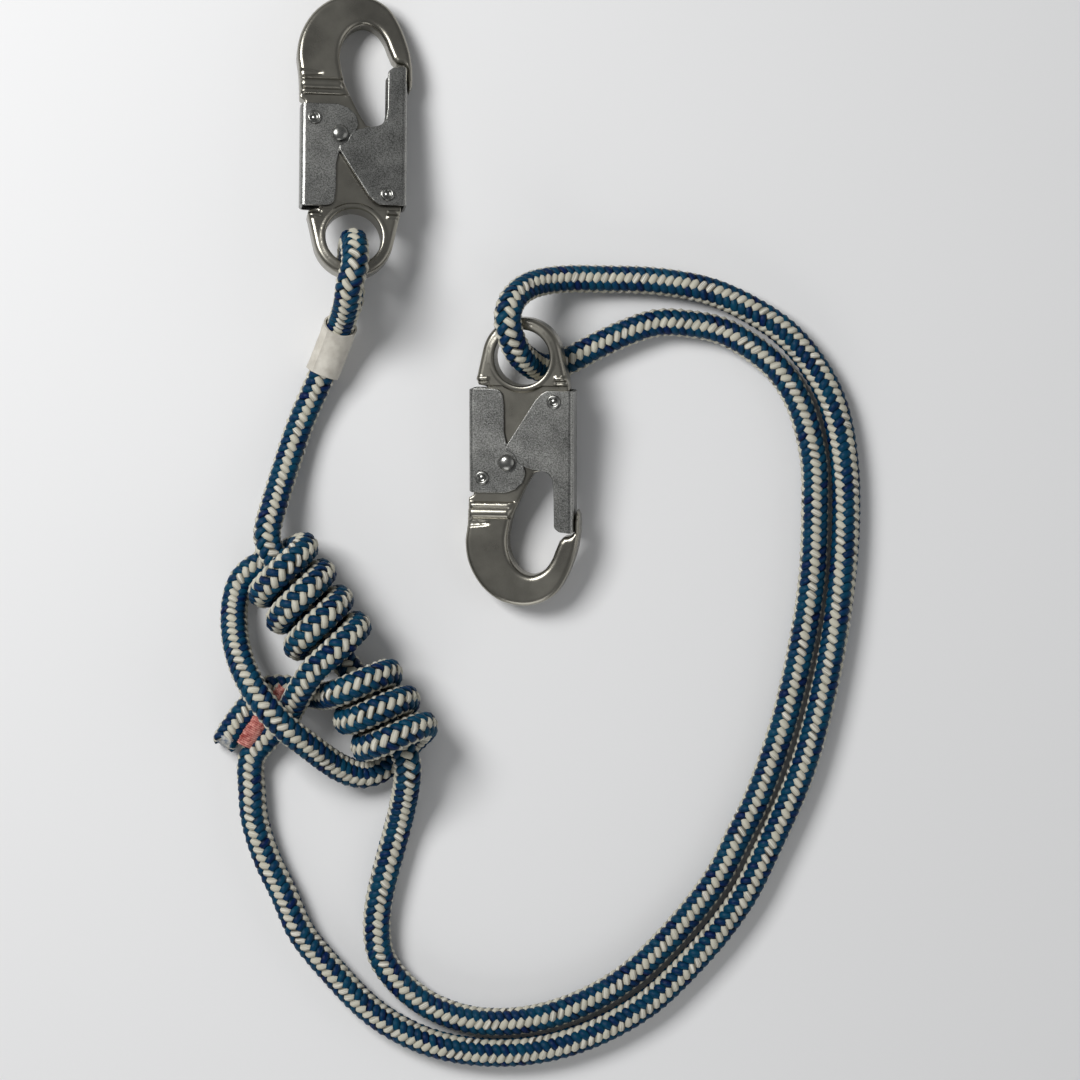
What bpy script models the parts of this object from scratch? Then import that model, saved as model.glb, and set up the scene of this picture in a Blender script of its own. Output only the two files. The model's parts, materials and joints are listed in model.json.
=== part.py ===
"""Tree climbing lanyard: one braided rope, a sliding friction hitch and two double-locking snap hooks.

Frame: metres, +Z up. The lanyard lies flat on z = 0. The origin is on that surface, midway
between the two snap hooks, and +Y runs from the second snap towards the first.
"""
import math

import bmesh
import bpy
from mathutils import Matrix, Vector

MM = 0.001

# Rope
ROPE_DIAMETER = 13.0 * MM
FREE_STEP = 26.0 * MM
LEAD_STEP = 13.0 * MM
TURN_STEP = 6.0 * MM
END_STEP = 1.0 * MM
FREE_RESOLUTION = 3
WINDING_RESOLUTION = 1
SEAM_GAP = 0.3 * MM
CLEARANCE = 0.3 * MM
SPLICE_STEP = 0.25 * MM

# Friction hitch: where it lies, and its wraps
HITCH_CENTRE = (-44.0 * MM, -154.2 * MM)
HITCH_ANGLE = math.radians(-56.3)
WRAP_CLEARANCE = 0.5 * MM
GROUND_CLEARANCE = 0.2 * MM
WRAP_PITCH = 13.85 * MM
WRAPS_BELOW = 3
STEPS_PER_WRAP = 24
WRAP_4_PLACE = -1.3 * MM
WRAP_5_PLACE = 16.5 * MM
HOST_PLACES = (-54.0 * MM, -36.0 * MM, -18.0 * MM, 0.0, 17.0 * MM, 34.0 * MM, 50.0 * MM)
UPPER_ANGLES = (105.0, -1170.0)
LOWER_ANGLES = (-90.0, 855.0)

# Label sleeve and stitched band
LABEL_LENGTH = 24.0 * MM
LABEL_SHIFT = 2.0 * MM
LABEL_WALL = 0.9 * MM
LABEL_CLEARANCE = 0.5 * MM
LABEL_STEP = 6.0 * MM
BAND_PLACE = (-52.0 * MM, 7.3 * MM)
BAND_LENGTH = 15.0 * MM
BAND_TURN = math.radians(14.6)
BAND_SPACING = 14.3 * MM
BAND_HEIGHT_SHARES = (0.88, 0.7, 0.45, 0.2, -0.2, -0.45, -0.7, -0.88)

# Snap hook, along it from the centre of its eye and across it
EYE_HOLE_RADIUS = 12.3 * MM
EYE_BAR = 5.3 * MM
HOOK_REACH = 109.2 * MM
SNAP_HALF_WIDTH = 25.5 * MM
FORGING_THICKNESS = 11.5 * MM
FORGING_EDGE = 1.9 * MM
WEB_THICKNESS = 7.6 * MM
BEAD_WIDTH = 2.6 * MM
RECESS_SHARES = (0.1117, 0.5815)
SHEET = 1.2 * MM
SHEET_EDGE = 0.5 * MM
ROUND_STEPS = 24

# Rivets, lock pin and springs
GATE_RIVET_SHARES = (0.1731, 0.5647)
LEVER_RIVET_SHARES = (0.4826, -0.6902)
LOCK_PIN_SHARES = (0.4185, -0.2588)
LEVER_SWING = math.radians(10.0)
RIVET_RADIUS = 2.3 * MM
RIVET_HEAD_RADIUS = 3.1 * MM
RIVET_HEAD = 0.9 * MM
RIVET_CHAMFER = 0.3 * MM
RIVET_BORE_RADIUS = 1.3 * MM
RIVET_BORE_DEPTH = 1.5 * MM
PIN_RADIUS = 2.0 * MM
PIN_HEAD_RADIUS = 3.5 * MM
PIN_DOME = 1.5 * MM
TURNED_STEPS = 14
SPRING_WIRE = 1.0 * MM
SPRING_TURNS = 2.5
SPRING_PITCH = 1.4 * MM
SPRING_STEPS = 10
SPRING_TAIL = 1.8 * MM
SPRING_SLOT = 5.2 * MM
OVERRUN = 40.0 * MM

# How the snaps lie: eye centre, pitch of the eye end, roll of the gate side, and which face is up
SNAP_1_EYE = (-37.4 * MM, 26.0 * MM)
SNAP_1_PITCH = math.radians(8.5)
SNAP_1_ROLL = math.radians(-8.0)
SNAP_1_FACE = -1
SNAP_2_EYE = (37.1 * MM, -25.4 * MM)
SNAP_2_PITCH = math.radians(6.8)
SNAP_2_ROLL = math.radians(9.0)
SNAP_2_FACE = 1

# Routes of the rope's centre line in millimetres, chosen by hand along the photographed rope
SPLICE_FRONT_ROUTE = [(-37.9, 6.0, 37.4), (-39.0, -0.8, 32.4), (-40.6, -6.0, 25.0), (-42.7, -10.6, 18.2),
                      (-45.0, -16.0, 14.2)]
SPLICE_BACK_ROUTE = [(-38.6, 2.5, 11.0), (-40.2, -3.0, 13.2), (-41.9, -8.0, 16.4), (-43.3, -12.2, 17.0)]
SPLICE_END = (-47.4, -22.0, 11.8)
LEAD_ROUTE = [(-50.4, -29.0, 9.8), (-53.4, -36.0, 8.4), (-57.4, -44.5, 7.1), (-61.3, -53.5, 6.6), (-65.0, -64.5, 7.2),
              (-68.6, -76.0, 9.2), (-71.6, -86.5, 12.8), (-74.0, -95.8, 17.0), (-75.3, -102.8, 19.6)]
EXIT_ROUTE = [(-14.0, -200.5, 20.4), (-13.6, -207.5, 18.6), (-14.6, -215.0, 14.0), (-16.3, -223.0, 9.8),
              (-18.4, -231.5, 7.2), (-20.7, -240.0, 6.5)]
INNER_ROUTE = [(-24.0, -252.0, 6.5), (-26.8, -264.5, 6.5), (-27.8, -276.0, 6.5), (-25.8, -289.0, 6.5),
               (-17.6, -300.4, 6.5), (-5.0, -310.2, 6.5), (12.0, -316.5, 6.5), (26.7, -317.8, 6.5),
               (41.1, -316.4, 6.5), (55.0, -312.6, 6.5), (69.3, -306.4, 6.5), (83.8, -297.2, 6.5),
               (97.3, -284.9, 6.5), (111.5, -268.9, 6.5), (122.7, -253.6, 6.5), (131.3, -236.7, 6.5),
               (139.4, -220.5, 6.5), (150.6, -189.4, 6.5), (158.9, -155.3, 6.5), (164.3, -121.2, 6.5),
               (165.5, -87.7, 6.5), (165.2, -72.3, 6.5), (162.5, -57.4, 6.5), (158.3, -44.6, 6.5),
               (150.0, -31.0, 6.5), (138.0, -20.6, 6.5), (124.0, -12.8, 6.5), (110.0, -9.9, 6.5),
               (97.0, -9.3, 6.5), (86.0, -12.3, 6.5)]
TURN_ROUTE = [(69.0, -19.8, 6.5), (62.0, -23.6, 6.5), (55.8, -26.8, 6.6), (50.4, -28.8, 6.9), (45.7, -29.6, 9.3),
              (41.6, -28.7, 14.2), (38.5, -26.7, 20.1), (35.2, -24.2, 26.2), (32.6, -19.4, 30.8),
              (30.6, -13.6, 33.2), (30.2, -7.4, 33.0), (32.2, -1.2, 29.6), (37.0, 4.2, 23.4), (44.6, 7.8, 16.2)]
OUTER_ROUTE = [(56.0, 9.6, 10.4), (71.0, 9.8, 7.0), (92.7, 9.2, 6.5), (108.6, 7.0, 6.5), (121.4, 3.7, 6.5),
               (138.1, -4.2, 6.5), (153.1, -14.5, 6.5), (165.6, -29.5, 6.5), (173.8, -45.8, 6.5),
               (178.6, -70.9, 6.5), (179.1, -103.1, 6.5), (175.3, -140.5, 6.5), (168.5, -175.8, 6.5),
               (159.2, -208.4, 6.5), (143.7, -243.2, 6.5), (134.9, -260.8, 6.5), (122.9, -277.8, 6.5),
               (107.6, -294.8, 6.5), (93.0, -308.5, 6.5), (76.4, -318.8, 6.5), (59.7, -325.9, 6.5),
               (43.3, -330.0, 6.5), (26.7, -331.4, 6.5), (9.9, -330.2, 6.5), (-5.0, -326.6, 6.5),
               (-19.2, -320.1, 6.5), (-31.5, -311.6, 6.5), (-47.6, -294.9, 6.5), (-61.2, -278.0, 6.5),
               (-68.6, -261.2, 6.5), (-76.8, -244.0, 6.5), (-81.7, -227.6, 6.5)]
BRIDGE_ROUTE = [(-81.7, -117.6, 6.7), (-87.4, -123.3, 6.8), (-90.1, -132.6, 8.0), (-89.9, -143.6, 14.5),
                (-87.7, -153.7, 22.0), (-83.5, -163.9, 28.3), (-77.8, -173.1, 32.2), (-71.4, -181.3, 32.8),
                (-64.3, -188.5, 30.0), (-56.6, -194.9, 24.2), (-49.1, -201.3, 17.5), (-41.2, -206.6, 11.0),
                (-33.3, -208.6, 7.4), (-25.3, -205.7, 6.7)]
# The hitch's two legs in millimetres across its axis, along it, and above the ground
LEG_IN_ROUTE = [(-65.4, 28.0, 6.7), (-62.2, 22.2, 6.7), (-57.4, 16.5, 6.7), (-51.6, 14.8, 6.7), (-46.0, 13.4, 6.7),
                (-41.0, 12.4, 7.8), (-36.5, 11.4, 12.2), (-32.0, 9.8, 18.2), (-27.0, 7.4, 23.9), (-22.0, 4.8, 28.6), (-16.5, 2.3, 31.8), (-10.5, 0.3, 33.3)]
LEG_OUT_ROUTE = [(-13.9, 13.6, 22.0), (-16.8, 12.3, 15.5), (-20.5, 9.5, 10.0), (-25.5, 4.0, 7.1), (-31.5, -1.4, 6.7),
                 (-38.0, -4.1, 6.7), (-45.0, -2.2, 6.7), (-52.0, -0.2, 6.7), (-59.0, 1.7, 6.7), (-66.0, 3.5, 6.7)]

# Outlines, in shares of the hook's reach along it and of the snap's half width across it
LUG_SHARES = [(0.096, 0.800), (0.122, 0.812), (0.190, 0.805), (0.300, 0.655), (0.420, 0.465), (0.450, 0.390)]
MOUTH_SHARES = [(0.462, 0.200), (0.522, 0.047), (0.583, -0.078), (0.632, -0.169), (0.678, -0.224), (0.745, -0.259),
                (0.812, -0.192), (0.859, -0.035), (0.876, 0.169), (0.853, 0.384), (0.812, 0.514), (0.772, 0.584),
                (0.735, 0.650)]
NOSE_SHARES = [(0.718, 0.720), (0.714, 0.835), (0.698, 0.908), (0.632, 0.908), (0.608, 0.950), (0.630, 0.996)]
HOOK_BACK_SHARES = [(0.700, 0.992), (0.772, 0.942), (0.879, 0.773), (0.950, 0.570), (0.987, 0.310), (1.000, 0.000),
                    (0.984, -0.350), (0.950, -0.590), (0.900, -0.785), (0.826, -0.941), (0.745, -0.992),
                    (0.691, -0.965)]
SPINE_SHARES = [(0.632, -0.945), (0.566, -0.937), (0.553, -0.850), (0.482, -0.845), (0.403, -0.795), (0.275, -0.700),
                (0.128, -0.590), (0.116, -0.620), (0.108, -0.770), (0.086, -0.790)]
LEVER_SHARES = [(0.140, -0.925), (0.126, -0.900), (0.123, -0.840), (0.123, -0.480), (0.128, -0.390), (0.145, -0.335),
                (0.190, -0.310), (0.300, -0.305), (0.345, -0.255), (0.385, -0.110), (0.412, 0.010), (0.462, 0.066),
                (0.500, 0.020), (0.528, -0.110), (0.543, -0.290), (0.543, -0.860), (0.530, -0.925)]
GATE_SHARES = [(0.130, 0.430), (0.130, 0.870), (0.142, 0.902), (0.690, 0.902), (0.702, 0.860), (0.697, 0.655),
               (0.680, 0.565), (0.525, 0.560), (0.485, 0.535), (0.462, 0.470), (0.452, 0.380), (0.446, 0.200),
               (0.437, 0.060), (0.418, -0.070), (0.386, -0.130), (0.376, -0.200), (0.368, -0.270), (0.352, -0.265),
               (0.168, 0.240), (0.145, 0.330)]
EYE_ARC_STEPS = 26

# Derived sizes
ROPE_RADIUS = ROPE_DIAMETER / 2
WRAP_RADIUS = ROPE_DIAMETER + WRAP_CLEARANCE
HITCH_HEIGHT = WRAP_RADIUS + ROPE_RADIUS + GROUND_CLEARANCE
EYE_RADIUS = EYE_HOLE_RADIUS + EYE_BAR
BEAD_RADIUS = EYE_HOLE_RADIUS + BEAD_WIDTH
RECESS_START = RECESS_SHARES[0] * HOOK_REACH
RECESS_END = RECESS_SHARES[1] * HOOK_REACH
GATE_WALL_FACE = max(across for along, across in GATE_SHARES) * SNAP_HALF_WIDTH - SHEET
GATE_END_FACE = max(along for along, across in GATE_SHARES) * HOOK_REACH - SHEET
LEVER_WALL_FACE = min(across for along, across in LEVER_SHARES) * SNAP_HALF_WIDTH + SHEET
GATE_RIVET_PLACE = (GATE_RIVET_SHARES[0] * HOOK_REACH, GATE_RIVET_SHARES[1] * SNAP_HALF_WIDTH)
LEVER_RIVET_PLACE = (LEVER_RIVET_SHARES[0] * HOOK_REACH, LEVER_RIVET_SHARES[1] * SNAP_HALF_WIDTH)
LOCK_PIN_PLACE = (LOCK_PIN_SHARES[0] * HOOK_REACH, LOCK_PIN_SHARES[1] * SNAP_HALF_WIDTH)
LEVER_ARM = (LOCK_PIN_PLACE[0] - LEVER_RIVET_PLACE[0], LOCK_PIN_PLACE[1] - LEVER_RIVET_PLACE[1])
PIN_TRAVEL = 2 * math.hypot(*LEVER_ARM) * math.sin(LEVER_SWING / 2)
PIN_TRAVEL_ANGLE = math.atan2(-LEVER_ARM[0], LEVER_ARM[1]) - LEVER_SWING / 2
HALF_FORGING = FORGING_THICKNESS / 2
HALF_WEB = WEB_THICKNESS / 2
LEVER_INNER = HALF_WEB + CLEARANCE
LEVER_OUTER = LEVER_INNER + SHEET
GATE_INNER = LEVER_OUTER + CLEARANCE
GATE_OUTER = GATE_INNER + SHEET
SPRING_RADIUS = RIVET_RADIUS + CLEARANCE + SPRING_WIRE / 2
BIGHT_RADIUS = math.hypot(EYE_BAR / 2, HALF_FORGING) + 2 * CLEARANCE + ROPE_RADIUS


class Model:
    """The collections and the materials that every sub-part uses."""

    def __init__(self):
        self.parts = self.collection("tree_climbing_lanyard")
        self.cutters = self.collection("cutters")
        self.rope = self.material("rope", (0.33, 0.45, 0.60), 0.8, 0.0)
        self.label = self.material("label", (0.78, 0.76, 0.70), 0.6, 0.0)
        self.thread = self.material("thread", (0.72, 0.16, 0.14), 0.7, 0.0)
        self.steel = self.material("forged_steel", (0.50, 0.50, 0.47), 0.38, 1.0)
        self.sheet = self.material("sheet_steel", (0.55, 0.55, 0.52), 0.42, 1.0)
        self.rivet = self.material("rivet_steel", (0.62, 0.62, 0.60), 0.3, 1.0)
        self.spring = self.material("spring_wire", (0.46, 0.42, 0.30), 0.4, 1.0)

    @staticmethod
    def collection(name):
        """Make a collection in the scene."""
        group = bpy.data.collections.new(name)
        bpy.context.scene.collection.children.link(group)
        return group

    @staticmethod
    def material(name, colour, roughness, metallic):
        """Make a Principled material."""
        material = bpy.data.materials.new(name)
        material.use_nodes = True
        shader = material.node_tree.nodes["Principled BSDF"]
        shader.inputs["Base Color"].default_value = (*colour, 1.0)
        shader.inputs["Roughness"].default_value = roughness
        shader.inputs["Metallic"].default_value = metallic
        return material

    def part(self, name, data, material):
        """Add a sub-part."""
        item = bpy.data.objects.new(name, data)
        self.parts.objects.link(item)
        data.materials.clear()
        data.materials.append(material)
        return item

    def cutter(self, name, data):
        """Add a cutter, which isn't a sub-part."""
        item = bpy.data.objects.new(name, data)
        self.cutters.objects.link(item)
        item.hide_render = True
        item.display_type = "WIRE"
        return item

    def frame(self, name, matrix, parent=None):
        """Add an empty that carries other objects."""
        item = bpy.data.objects.new(name, None)
        self.parts.objects.link(item)
        item.parent = parent
        item.matrix_local = matrix
        return item


def empty_scene():
    """Remove every object of the scene."""
    for item in list(bpy.data.objects):
        bpy.data.objects.remove(item, do_unlink=True)


def evaluated_mesh(item):
    """A new mesh of an object as its modifiers or curve settings leave it, with its seams welded."""
    bpy.context.view_layer.update()
    graph = bpy.context.evaluated_depsgraph_get()
    mesh = bpy.data.meshes.new_from_object(item.evaluated_get(graph))
    work = bmesh.new()
    work.from_mesh(mesh)
    bmesh.ops.remove_doubles(work, verts=work.verts, dist=CLEARANCE / 100)
    bmesh.ops.recalc_face_normals(work, faces=work.faces)
    work.to_mesh(mesh)
    work.free()
    return mesh


def curve_mesh(model, curve):
    """The closed mesh of a curve."""
    guide = model.cutter("guide", curve)
    mesh = evaluated_mesh(guide)
    bpy.data.objects.remove(guide, do_unlink=True)
    return mesh


def plate_mesh(model, outlines, half_thickness, edge=0.0):
    """A flat plate with bevelled edges, made from closed outlines; a second outline is a hole."""
    curve = bpy.data.curves.new("plate", "CURVE")
    curve.dimensions = "2D"
    curve.fill_mode = "BOTH"
    curve.extrude = half_thickness - edge
    curve.bevel_depth = edge
    curve.bevel_resolution = 0
    curve.offset = -edge
    for outline in outlines:
        spline = curve.splines.new("POLY")
        spline.points.add(len(outline) - 1)
        for point, place in zip(spline.points, outline):
            point.co = (place[0], place[1], 0.0, 1.0)
        spline.use_cyclic_u = True
    return curve_mesh(model, curve)


def tube_curve(points, radius, resolution):
    """A tube with filled caps along points."""
    curve = bpy.data.curves.new("tube", "CURVE")
    curve.dimensions = "3D"
    curve.bevel_depth = radius
    curve.bevel_resolution = resolution
    curve.use_fill_caps = True
    curve.twist_mode = "MINIMUM"
    spline = curve.splines.new("POLY")
    spline.points.add(len(points) - 1)
    for point, place in zip(spline.points, points):
        point.co = (*place, 1.0)
    return curve


def box_mesh(low, high):
    """A box between two corners."""
    mesh = bpy.data.meshes.new("box")
    work = bmesh.new()
    bmesh.ops.create_cube(work, size=1.0)
    bmesh.ops.scale(work, vec=Vector(high) - Vector(low), verts=work.verts)
    bmesh.ops.translate(work, vec=(Vector(high) + Vector(low)) / 2, verts=work.verts)
    work.to_mesh(mesh)
    work.free()
    return mesh


def rod_mesh(place, radius):
    """An upright rod through a plate, for cutting its holes."""
    mesh = bpy.data.meshes.new("rod")
    work = bmesh.new()
    bmesh.ops.create_cone(work, cap_ends=True, segments=ROUND_STEPS, radius1=radius, radius2=radius, depth=OVERRUN)
    bmesh.ops.translate(work, vec=(*place, 0.0), verts=work.verts)
    work.to_mesh(mesh)
    work.free()
    return mesh


def combine(model, mesh, other, operation="DIFFERENCE"):
    """Cut one closed mesh with another, or join them."""
    body = model.cutter("body", mesh)
    tool = model.cutter("tool", other)
    modifier = body.modifiers.new("boolean", "BOOLEAN")
    modifier.operation = operation
    modifier.solver = "EXACT"
    modifier.object = tool
    result = evaluated_mesh(body)
    bpy.data.objects.remove(body, do_unlink=True)
    bpy.data.objects.remove(tool, do_unlink=True)
    return result


def in_triangles(mesh):
    """Split a cut mesh's faces, whose holes are bridged, while they still lie square to its axes."""
    work = bmesh.new()
    work.from_mesh(mesh)
    bmesh.ops.triangulate(work, faces=work.faces)
    work.to_mesh(mesh)
    work.free()
    return mesh


def turned_part(model, name, profile, material):
    """A solid turned about Z from a profile that runs down its outer side."""
    mesh = bpy.data.meshes.new(name)
    points = [(radius, 0.0, height) for radius, height in profile]
    mesh.from_pydata(points, [(index, index + 1) for index in range(len(points) - 1)], [])
    item = model.part(name, mesh, material)
    screw = item.modifiers.new("screw", "SCREW")
    screw.axis = "Z"
    screw.steps = TURNED_STEPS
    screw.render_steps = TURNED_STEPS
    screw.use_merge_vertices = True
    screw.merge_threshold = CLEARANCE / 100
    screw.use_smooth_shade = False
    return item


def mix(start, end, low, high, place):
    """The point at a place between two knots."""
    return start * ((high - place) / (high - low)) + end * ((place - low) / (high - low))


def smooth_points(route, steps, before=None, after=None):
    """Points of a centripetal Catmull-Rom curve through a route, which may know its neighbours."""
    points = [Vector(place) for place in route]
    first = Vector(before) if before is not None else 2 * points[0] - points[1]
    last = Vector(after) if after is not None else 2 * points[-1] - points[-2]
    ends = [first] + points + [last]
    out = []
    for index in range(len(points) - 1):
        four = ends[index:index + 4]
        knots = [0.0]
        for start, end in zip(four, four[1:]):
            knots.append(knots[-1] + math.sqrt((end - start).length))
        for step in range(steps):
            place = knots[1] + (knots[2] - knots[1]) * step / steps
            three = [mix(four[i], four[i + 1], knots[i], knots[i + 1], place) for i in range(3)]
            two = [mix(three[i], three[i + 1], knots[i], knots[i + 2], place) for i in range(2)]
            out.append(mix(two[0], two[1], knots[1], knots[2], place))
    out.append(points[-1])
    return out


def lengths_along(points):
    """Distances from the first point, along the points."""
    total = [0.0]
    for start, end in zip(points, points[1:]):
        total.append(total[-1] + (end - start).length)
    return total


def read_evenly(points, step, trim_start=0.0, trim_end=0.0):
    """Points at even distances along a smooth curve whose ends are trimmed and run straight."""
    total = lengths_along(points)
    last = total[-1] - trim_end
    low = trim_start + END_STEP
    high = last - END_STEP
    count = math.ceil((high - low) / step)
    places = [trim_start] + [low + (high - low) * index / count for index in range(count + 1)] + [last]
    out = []
    cursor = 0
    for place in places:
        while cursor < len(total) - 2 and total[cursor + 1] < place:
            cursor += 1
        share = (place - total[cursor]) / (total[cursor + 1] - total[cursor])
        out.append(points[cursor].lerp(points[cursor + 1], share))
    return out


def in_metres(route):
    """A route given in millimetres, in metres."""
    return [Vector(place) * MM for place in route]


def hitch_point(across, along, height):
    """A point given by its distances across and along the hitch's axis and its height."""
    axis = Vector((math.cos(HITCH_ANGLE), math.sin(HITCH_ANGLE), 0.0))
    side = Vector((-axis.y, axis.x, 0.0))
    return Vector((*HITCH_CENTRE, 0.0)) + axis * along + side * across + Vector((0.0, 0.0, height))


def wraps(front_place, angles, hand):
    """The points of a run of wraps; its strand crosses the front at front_place at 90 degrees."""
    first, last = angles
    count = round(abs(last - first) / 360.0 * STEPS_PER_WRAP)
    points = []
    for index in range(count + 1):
        angle = first + (last - first) * index / count
        along = front_place + hand * (angle - 90.0) / 360.0 * WRAP_PITCH
        turn = math.radians(angle)
        points.append(hitch_point(WRAP_RADIUS * math.cos(turn), along, HITCH_HEIGHT + WRAP_RADIUS * math.sin(turn)))
    return points


class Hitch:
    """The stretches of the winding that grips the lead."""

    def __init__(self):
        self.leg_in = [hitch_point(*(Vector(place) * MM)) for place in LEG_IN_ROUTE]
        self.leg_out = [hitch_point(*(Vector(place) * MM)) for place in LEG_OUT_ROUTE]
        self.bridge = in_metres(BRIDGE_ROUTE)
        self.upper = wraps(WRAP_4_PLACE, UPPER_ANGLES, 1)
        lowest_place = WRAP_5_PLACE + (WRAPS_BELOW - 1) * WRAP_PITCH
        self.lower = wraps(lowest_place, LOWER_ANGLES, -1)
        self.host = [hitch_point(0.0, place, HITCH_HEIGHT) for place in HOST_PLACES]

    def points(self, before):
        """The whole winding as one line of points."""
        leg_in = smooth_points(self.leg_in + self.upper[:1], 2, before, self.upper[1])
        bridge = smooth_points([self.upper[-1]] + self.bridge + self.lower[:1], 2, self.upper[-2], self.lower[1])
        leg_out = smooth_points([self.lower[-1]] + self.leg_out, 2, self.lower[-2])
        return leg_in[:-1] + self.upper[:-1] + bridge[:-1] + self.lower[:-1] + leg_out


def least_gap(points, apart):
    """The least gap of the rope to itself, between points more than a given distance apart along it."""
    total = lengths_along(points)
    least = math.inf
    for first, start in enumerate(points):
        for second in range(first + 1, len(points)):
            if total[second] - total[first] > apart:
                least = min(least, (points[second] - start).length)
    return least - ROPE_DIAMETER


def make_rope(model, bight):
    """The rope: its eye splice, its free stretches and the hitch's winding."""
    hitch = Hitch()
    front = in_metres(SPLICE_FRONT_ROUTE)
    splice_end = Vector(SPLICE_END) * MM
    lead = [splice_end] + in_metres(LEAD_ROUTE) + hitch.host + in_metres(EXIT_ROUTE)
    inner = [lead[-1]] + in_metres(INNER_ROUTE)
    turn = in_metres(TURN_ROUTE)
    outer = in_metres(OUTER_ROUTE)
    inner.append(turn[0])
    turn.append(outer[0])
    outer.append(hitch.leg_in[0])
    stretches = [("rope_lead", lead, front[-1], inner[1], LEAD_STEP),
                 ("rope_inner_strand", inner, lead[-2], turn[1], FREE_STEP),
                 ("rope_eye_turn", turn, inner[-2], outer[1], TURN_STEP),
                 ("rope_outer_strand", outer, turn[-2], hitch.leg_in[1], FREE_STEP)]
    for name, route, before, after, step in stretches:
        points = smooth_points(route, 8, before, after)
        points = read_evenly(points, step, SEAM_GAP / 2, SEAM_GAP / 2)
        model.part(name, tube_curve(points, ROPE_RADIUS, FREE_RESOLUTION), model.rope)
    winding = hitch.points(outer[-2])
    winding[0] = winding[0].lerp(winding[1], SEAM_GAP / 2 / (winding[1] - winding[0]).length)
    print("least gap of the hitch's winding to itself, mm:", round(least_gap(winding, 2.3 * ROPE_DIAMETER) / MM, 2))
    model.part("hitch_winding", tube_curve(winding, ROPE_RADIUS, WINDING_RESOLUTION), model.rope)
    make_splice(model, bight, front, splice_end, lead)
    make_label(model, front, lead)
    make_band(model)


def make_splice(model, bight, front, splice_end, lead):
    """The spliced eye round the first snap: over the eye's rim, through its hole and back under it."""
    back = in_metres(SPLICE_BACK_ROUTE)
    loop = smooth_points([splice_end] + front[::-1] + bight + back[:2], 6, lead[1], back[2])
    loop = read_evenly(loop, TURN_STEP, SEAM_GAP / 2)
    tail = smooth_points(back, 6, bight[-1])
    tail = read_evenly(tail, TURN_STEP, TURN_STEP / 2)
    whole = curve_mesh(model, tube_curve(loop, ROPE_RADIUS, FREE_RESOLUTION))
    joined = curve_mesh(model, tube_curve(tail, ROPE_RADIUS - SPLICE_STEP, FREE_RESOLUTION))
    model.part("rope_eye_splice", combine(model, whole, joined, "UNION"), model.rope)


def make_label(model, front, lead):
    """The blank label sleeve round the splice's throat."""
    line = smooth_points(front[-3:] + lead[:4], 8, front[-4], lead[4])
    total = lengths_along(line)
    nearest = min(range(len(line)), key=lambda index: (line[index] - lead[0]).length)
    start = total[nearest] + LABEL_SHIFT - LABEL_LENGTH / 2
    end = total[-1] - start - LABEL_LENGTH
    points = read_evenly(line, LABEL_STEP, start, end)
    inner_points = read_evenly(line, LABEL_STEP, start - LABEL_STEP, end - LABEL_STEP)
    bore = ROPE_RADIUS + LABEL_CLEARANCE
    skin = curve_mesh(model, tube_curve(points, bore + LABEL_WALL, FREE_RESOLUTION))
    hole = curve_mesh(model, tube_curve(inner_points, bore, FREE_RESOLUTION))
    model.part("label_sleeve", combine(model, skin, hole), model.label)


def make_band(model):
    """The stitched band that sews the two legs together, filling the valleys between them."""
    right = []
    for share in BAND_HEIGHT_SHARES:
        height = share * ROPE_RADIUS
        right.append((BAND_SPACING / 2 - math.sqrt((ROPE_RADIUS + CLEARANCE) ** 2 - height ** 2), height))
    left = [(-across, height) for across, height in reversed(right)]
    mesh = plate_mesh(model, [right + left], BAND_LENGTH / 2)
    band = model.part("stitched_band", mesh, model.thread)
    across, along = BAND_PLACE
    turn = Matrix.Rotation(HITCH_ANGLE + math.pi / 2 + BAND_TURN, 4, "Z")
    stand = Matrix(((0, 0, 1, 0), (1, 0, 0, 0), (0, 1, 0, 0), (0, 0, 0, 1)))
    band.matrix_world = Matrix.Translation(hitch_point(across, along, ROPE_RADIUS)) @ turn @ stand


def snap_points(shares):
    """Points of an outline given in shares of the snap's sizes."""
    return [(along * HOOK_REACH, across * SNAP_HALF_WIDTH) for along, across in shares]


def smooth_outline(shares):
    """A rounded run of an outline."""
    points = [(*point, 0.0) for point in snap_points(shares)]
    return [(point.x, point.y) for point in smooth_points(points, 2)]


def arc(radius, first, last, steps):
    """Points of an arc about the eye's centre."""
    points = []
    for index in range(steps + 1):
        angle = first + (last - first) * index / steps
        points.append((radius * math.cos(angle), radius * math.sin(angle)))
    return points


def forging_outline():
    """The forging's outline: eye, lug, mouth, nose, hook and spine."""
    lug = snap_points(LUG_SHARES)
    spine = snap_points(SPINE_SHARES)
    gate_side = math.acos(EYE_RADIUS / math.hypot(*lug[0]))
    spine_side = math.acos(EYE_RADIUS / math.hypot(*spine[-1]))
    first = 2 * math.pi - math.atan2(-spine[-1][1], spine[-1][0]) - spine_side
    last = math.atan2(lug[0][1], lug[0][0]) + gate_side
    eye = arc(EYE_RADIUS, first, last, EYE_ARC_STEPS)
    outline = eye + lug + smooth_outline(MOUTH_SHARES) + snap_points(NOSE_SHARES)
    return outline + smooth_outline(HOOK_BACK_SHARES) + spine


def recess_outline():
    """The outline of the recess that takes the gate and the lever, round the eye's bead."""
    corner = math.acos(RECESS_START / BEAD_RADIUS)
    side = OVERRUN
    bead = arc(BEAD_RADIUS, corner, -corner, 10)
    return [(RECESS_END, side), (RECESS_START, side)] + bead + [(RECESS_START, -side), (RECESS_END, -side)]


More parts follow.
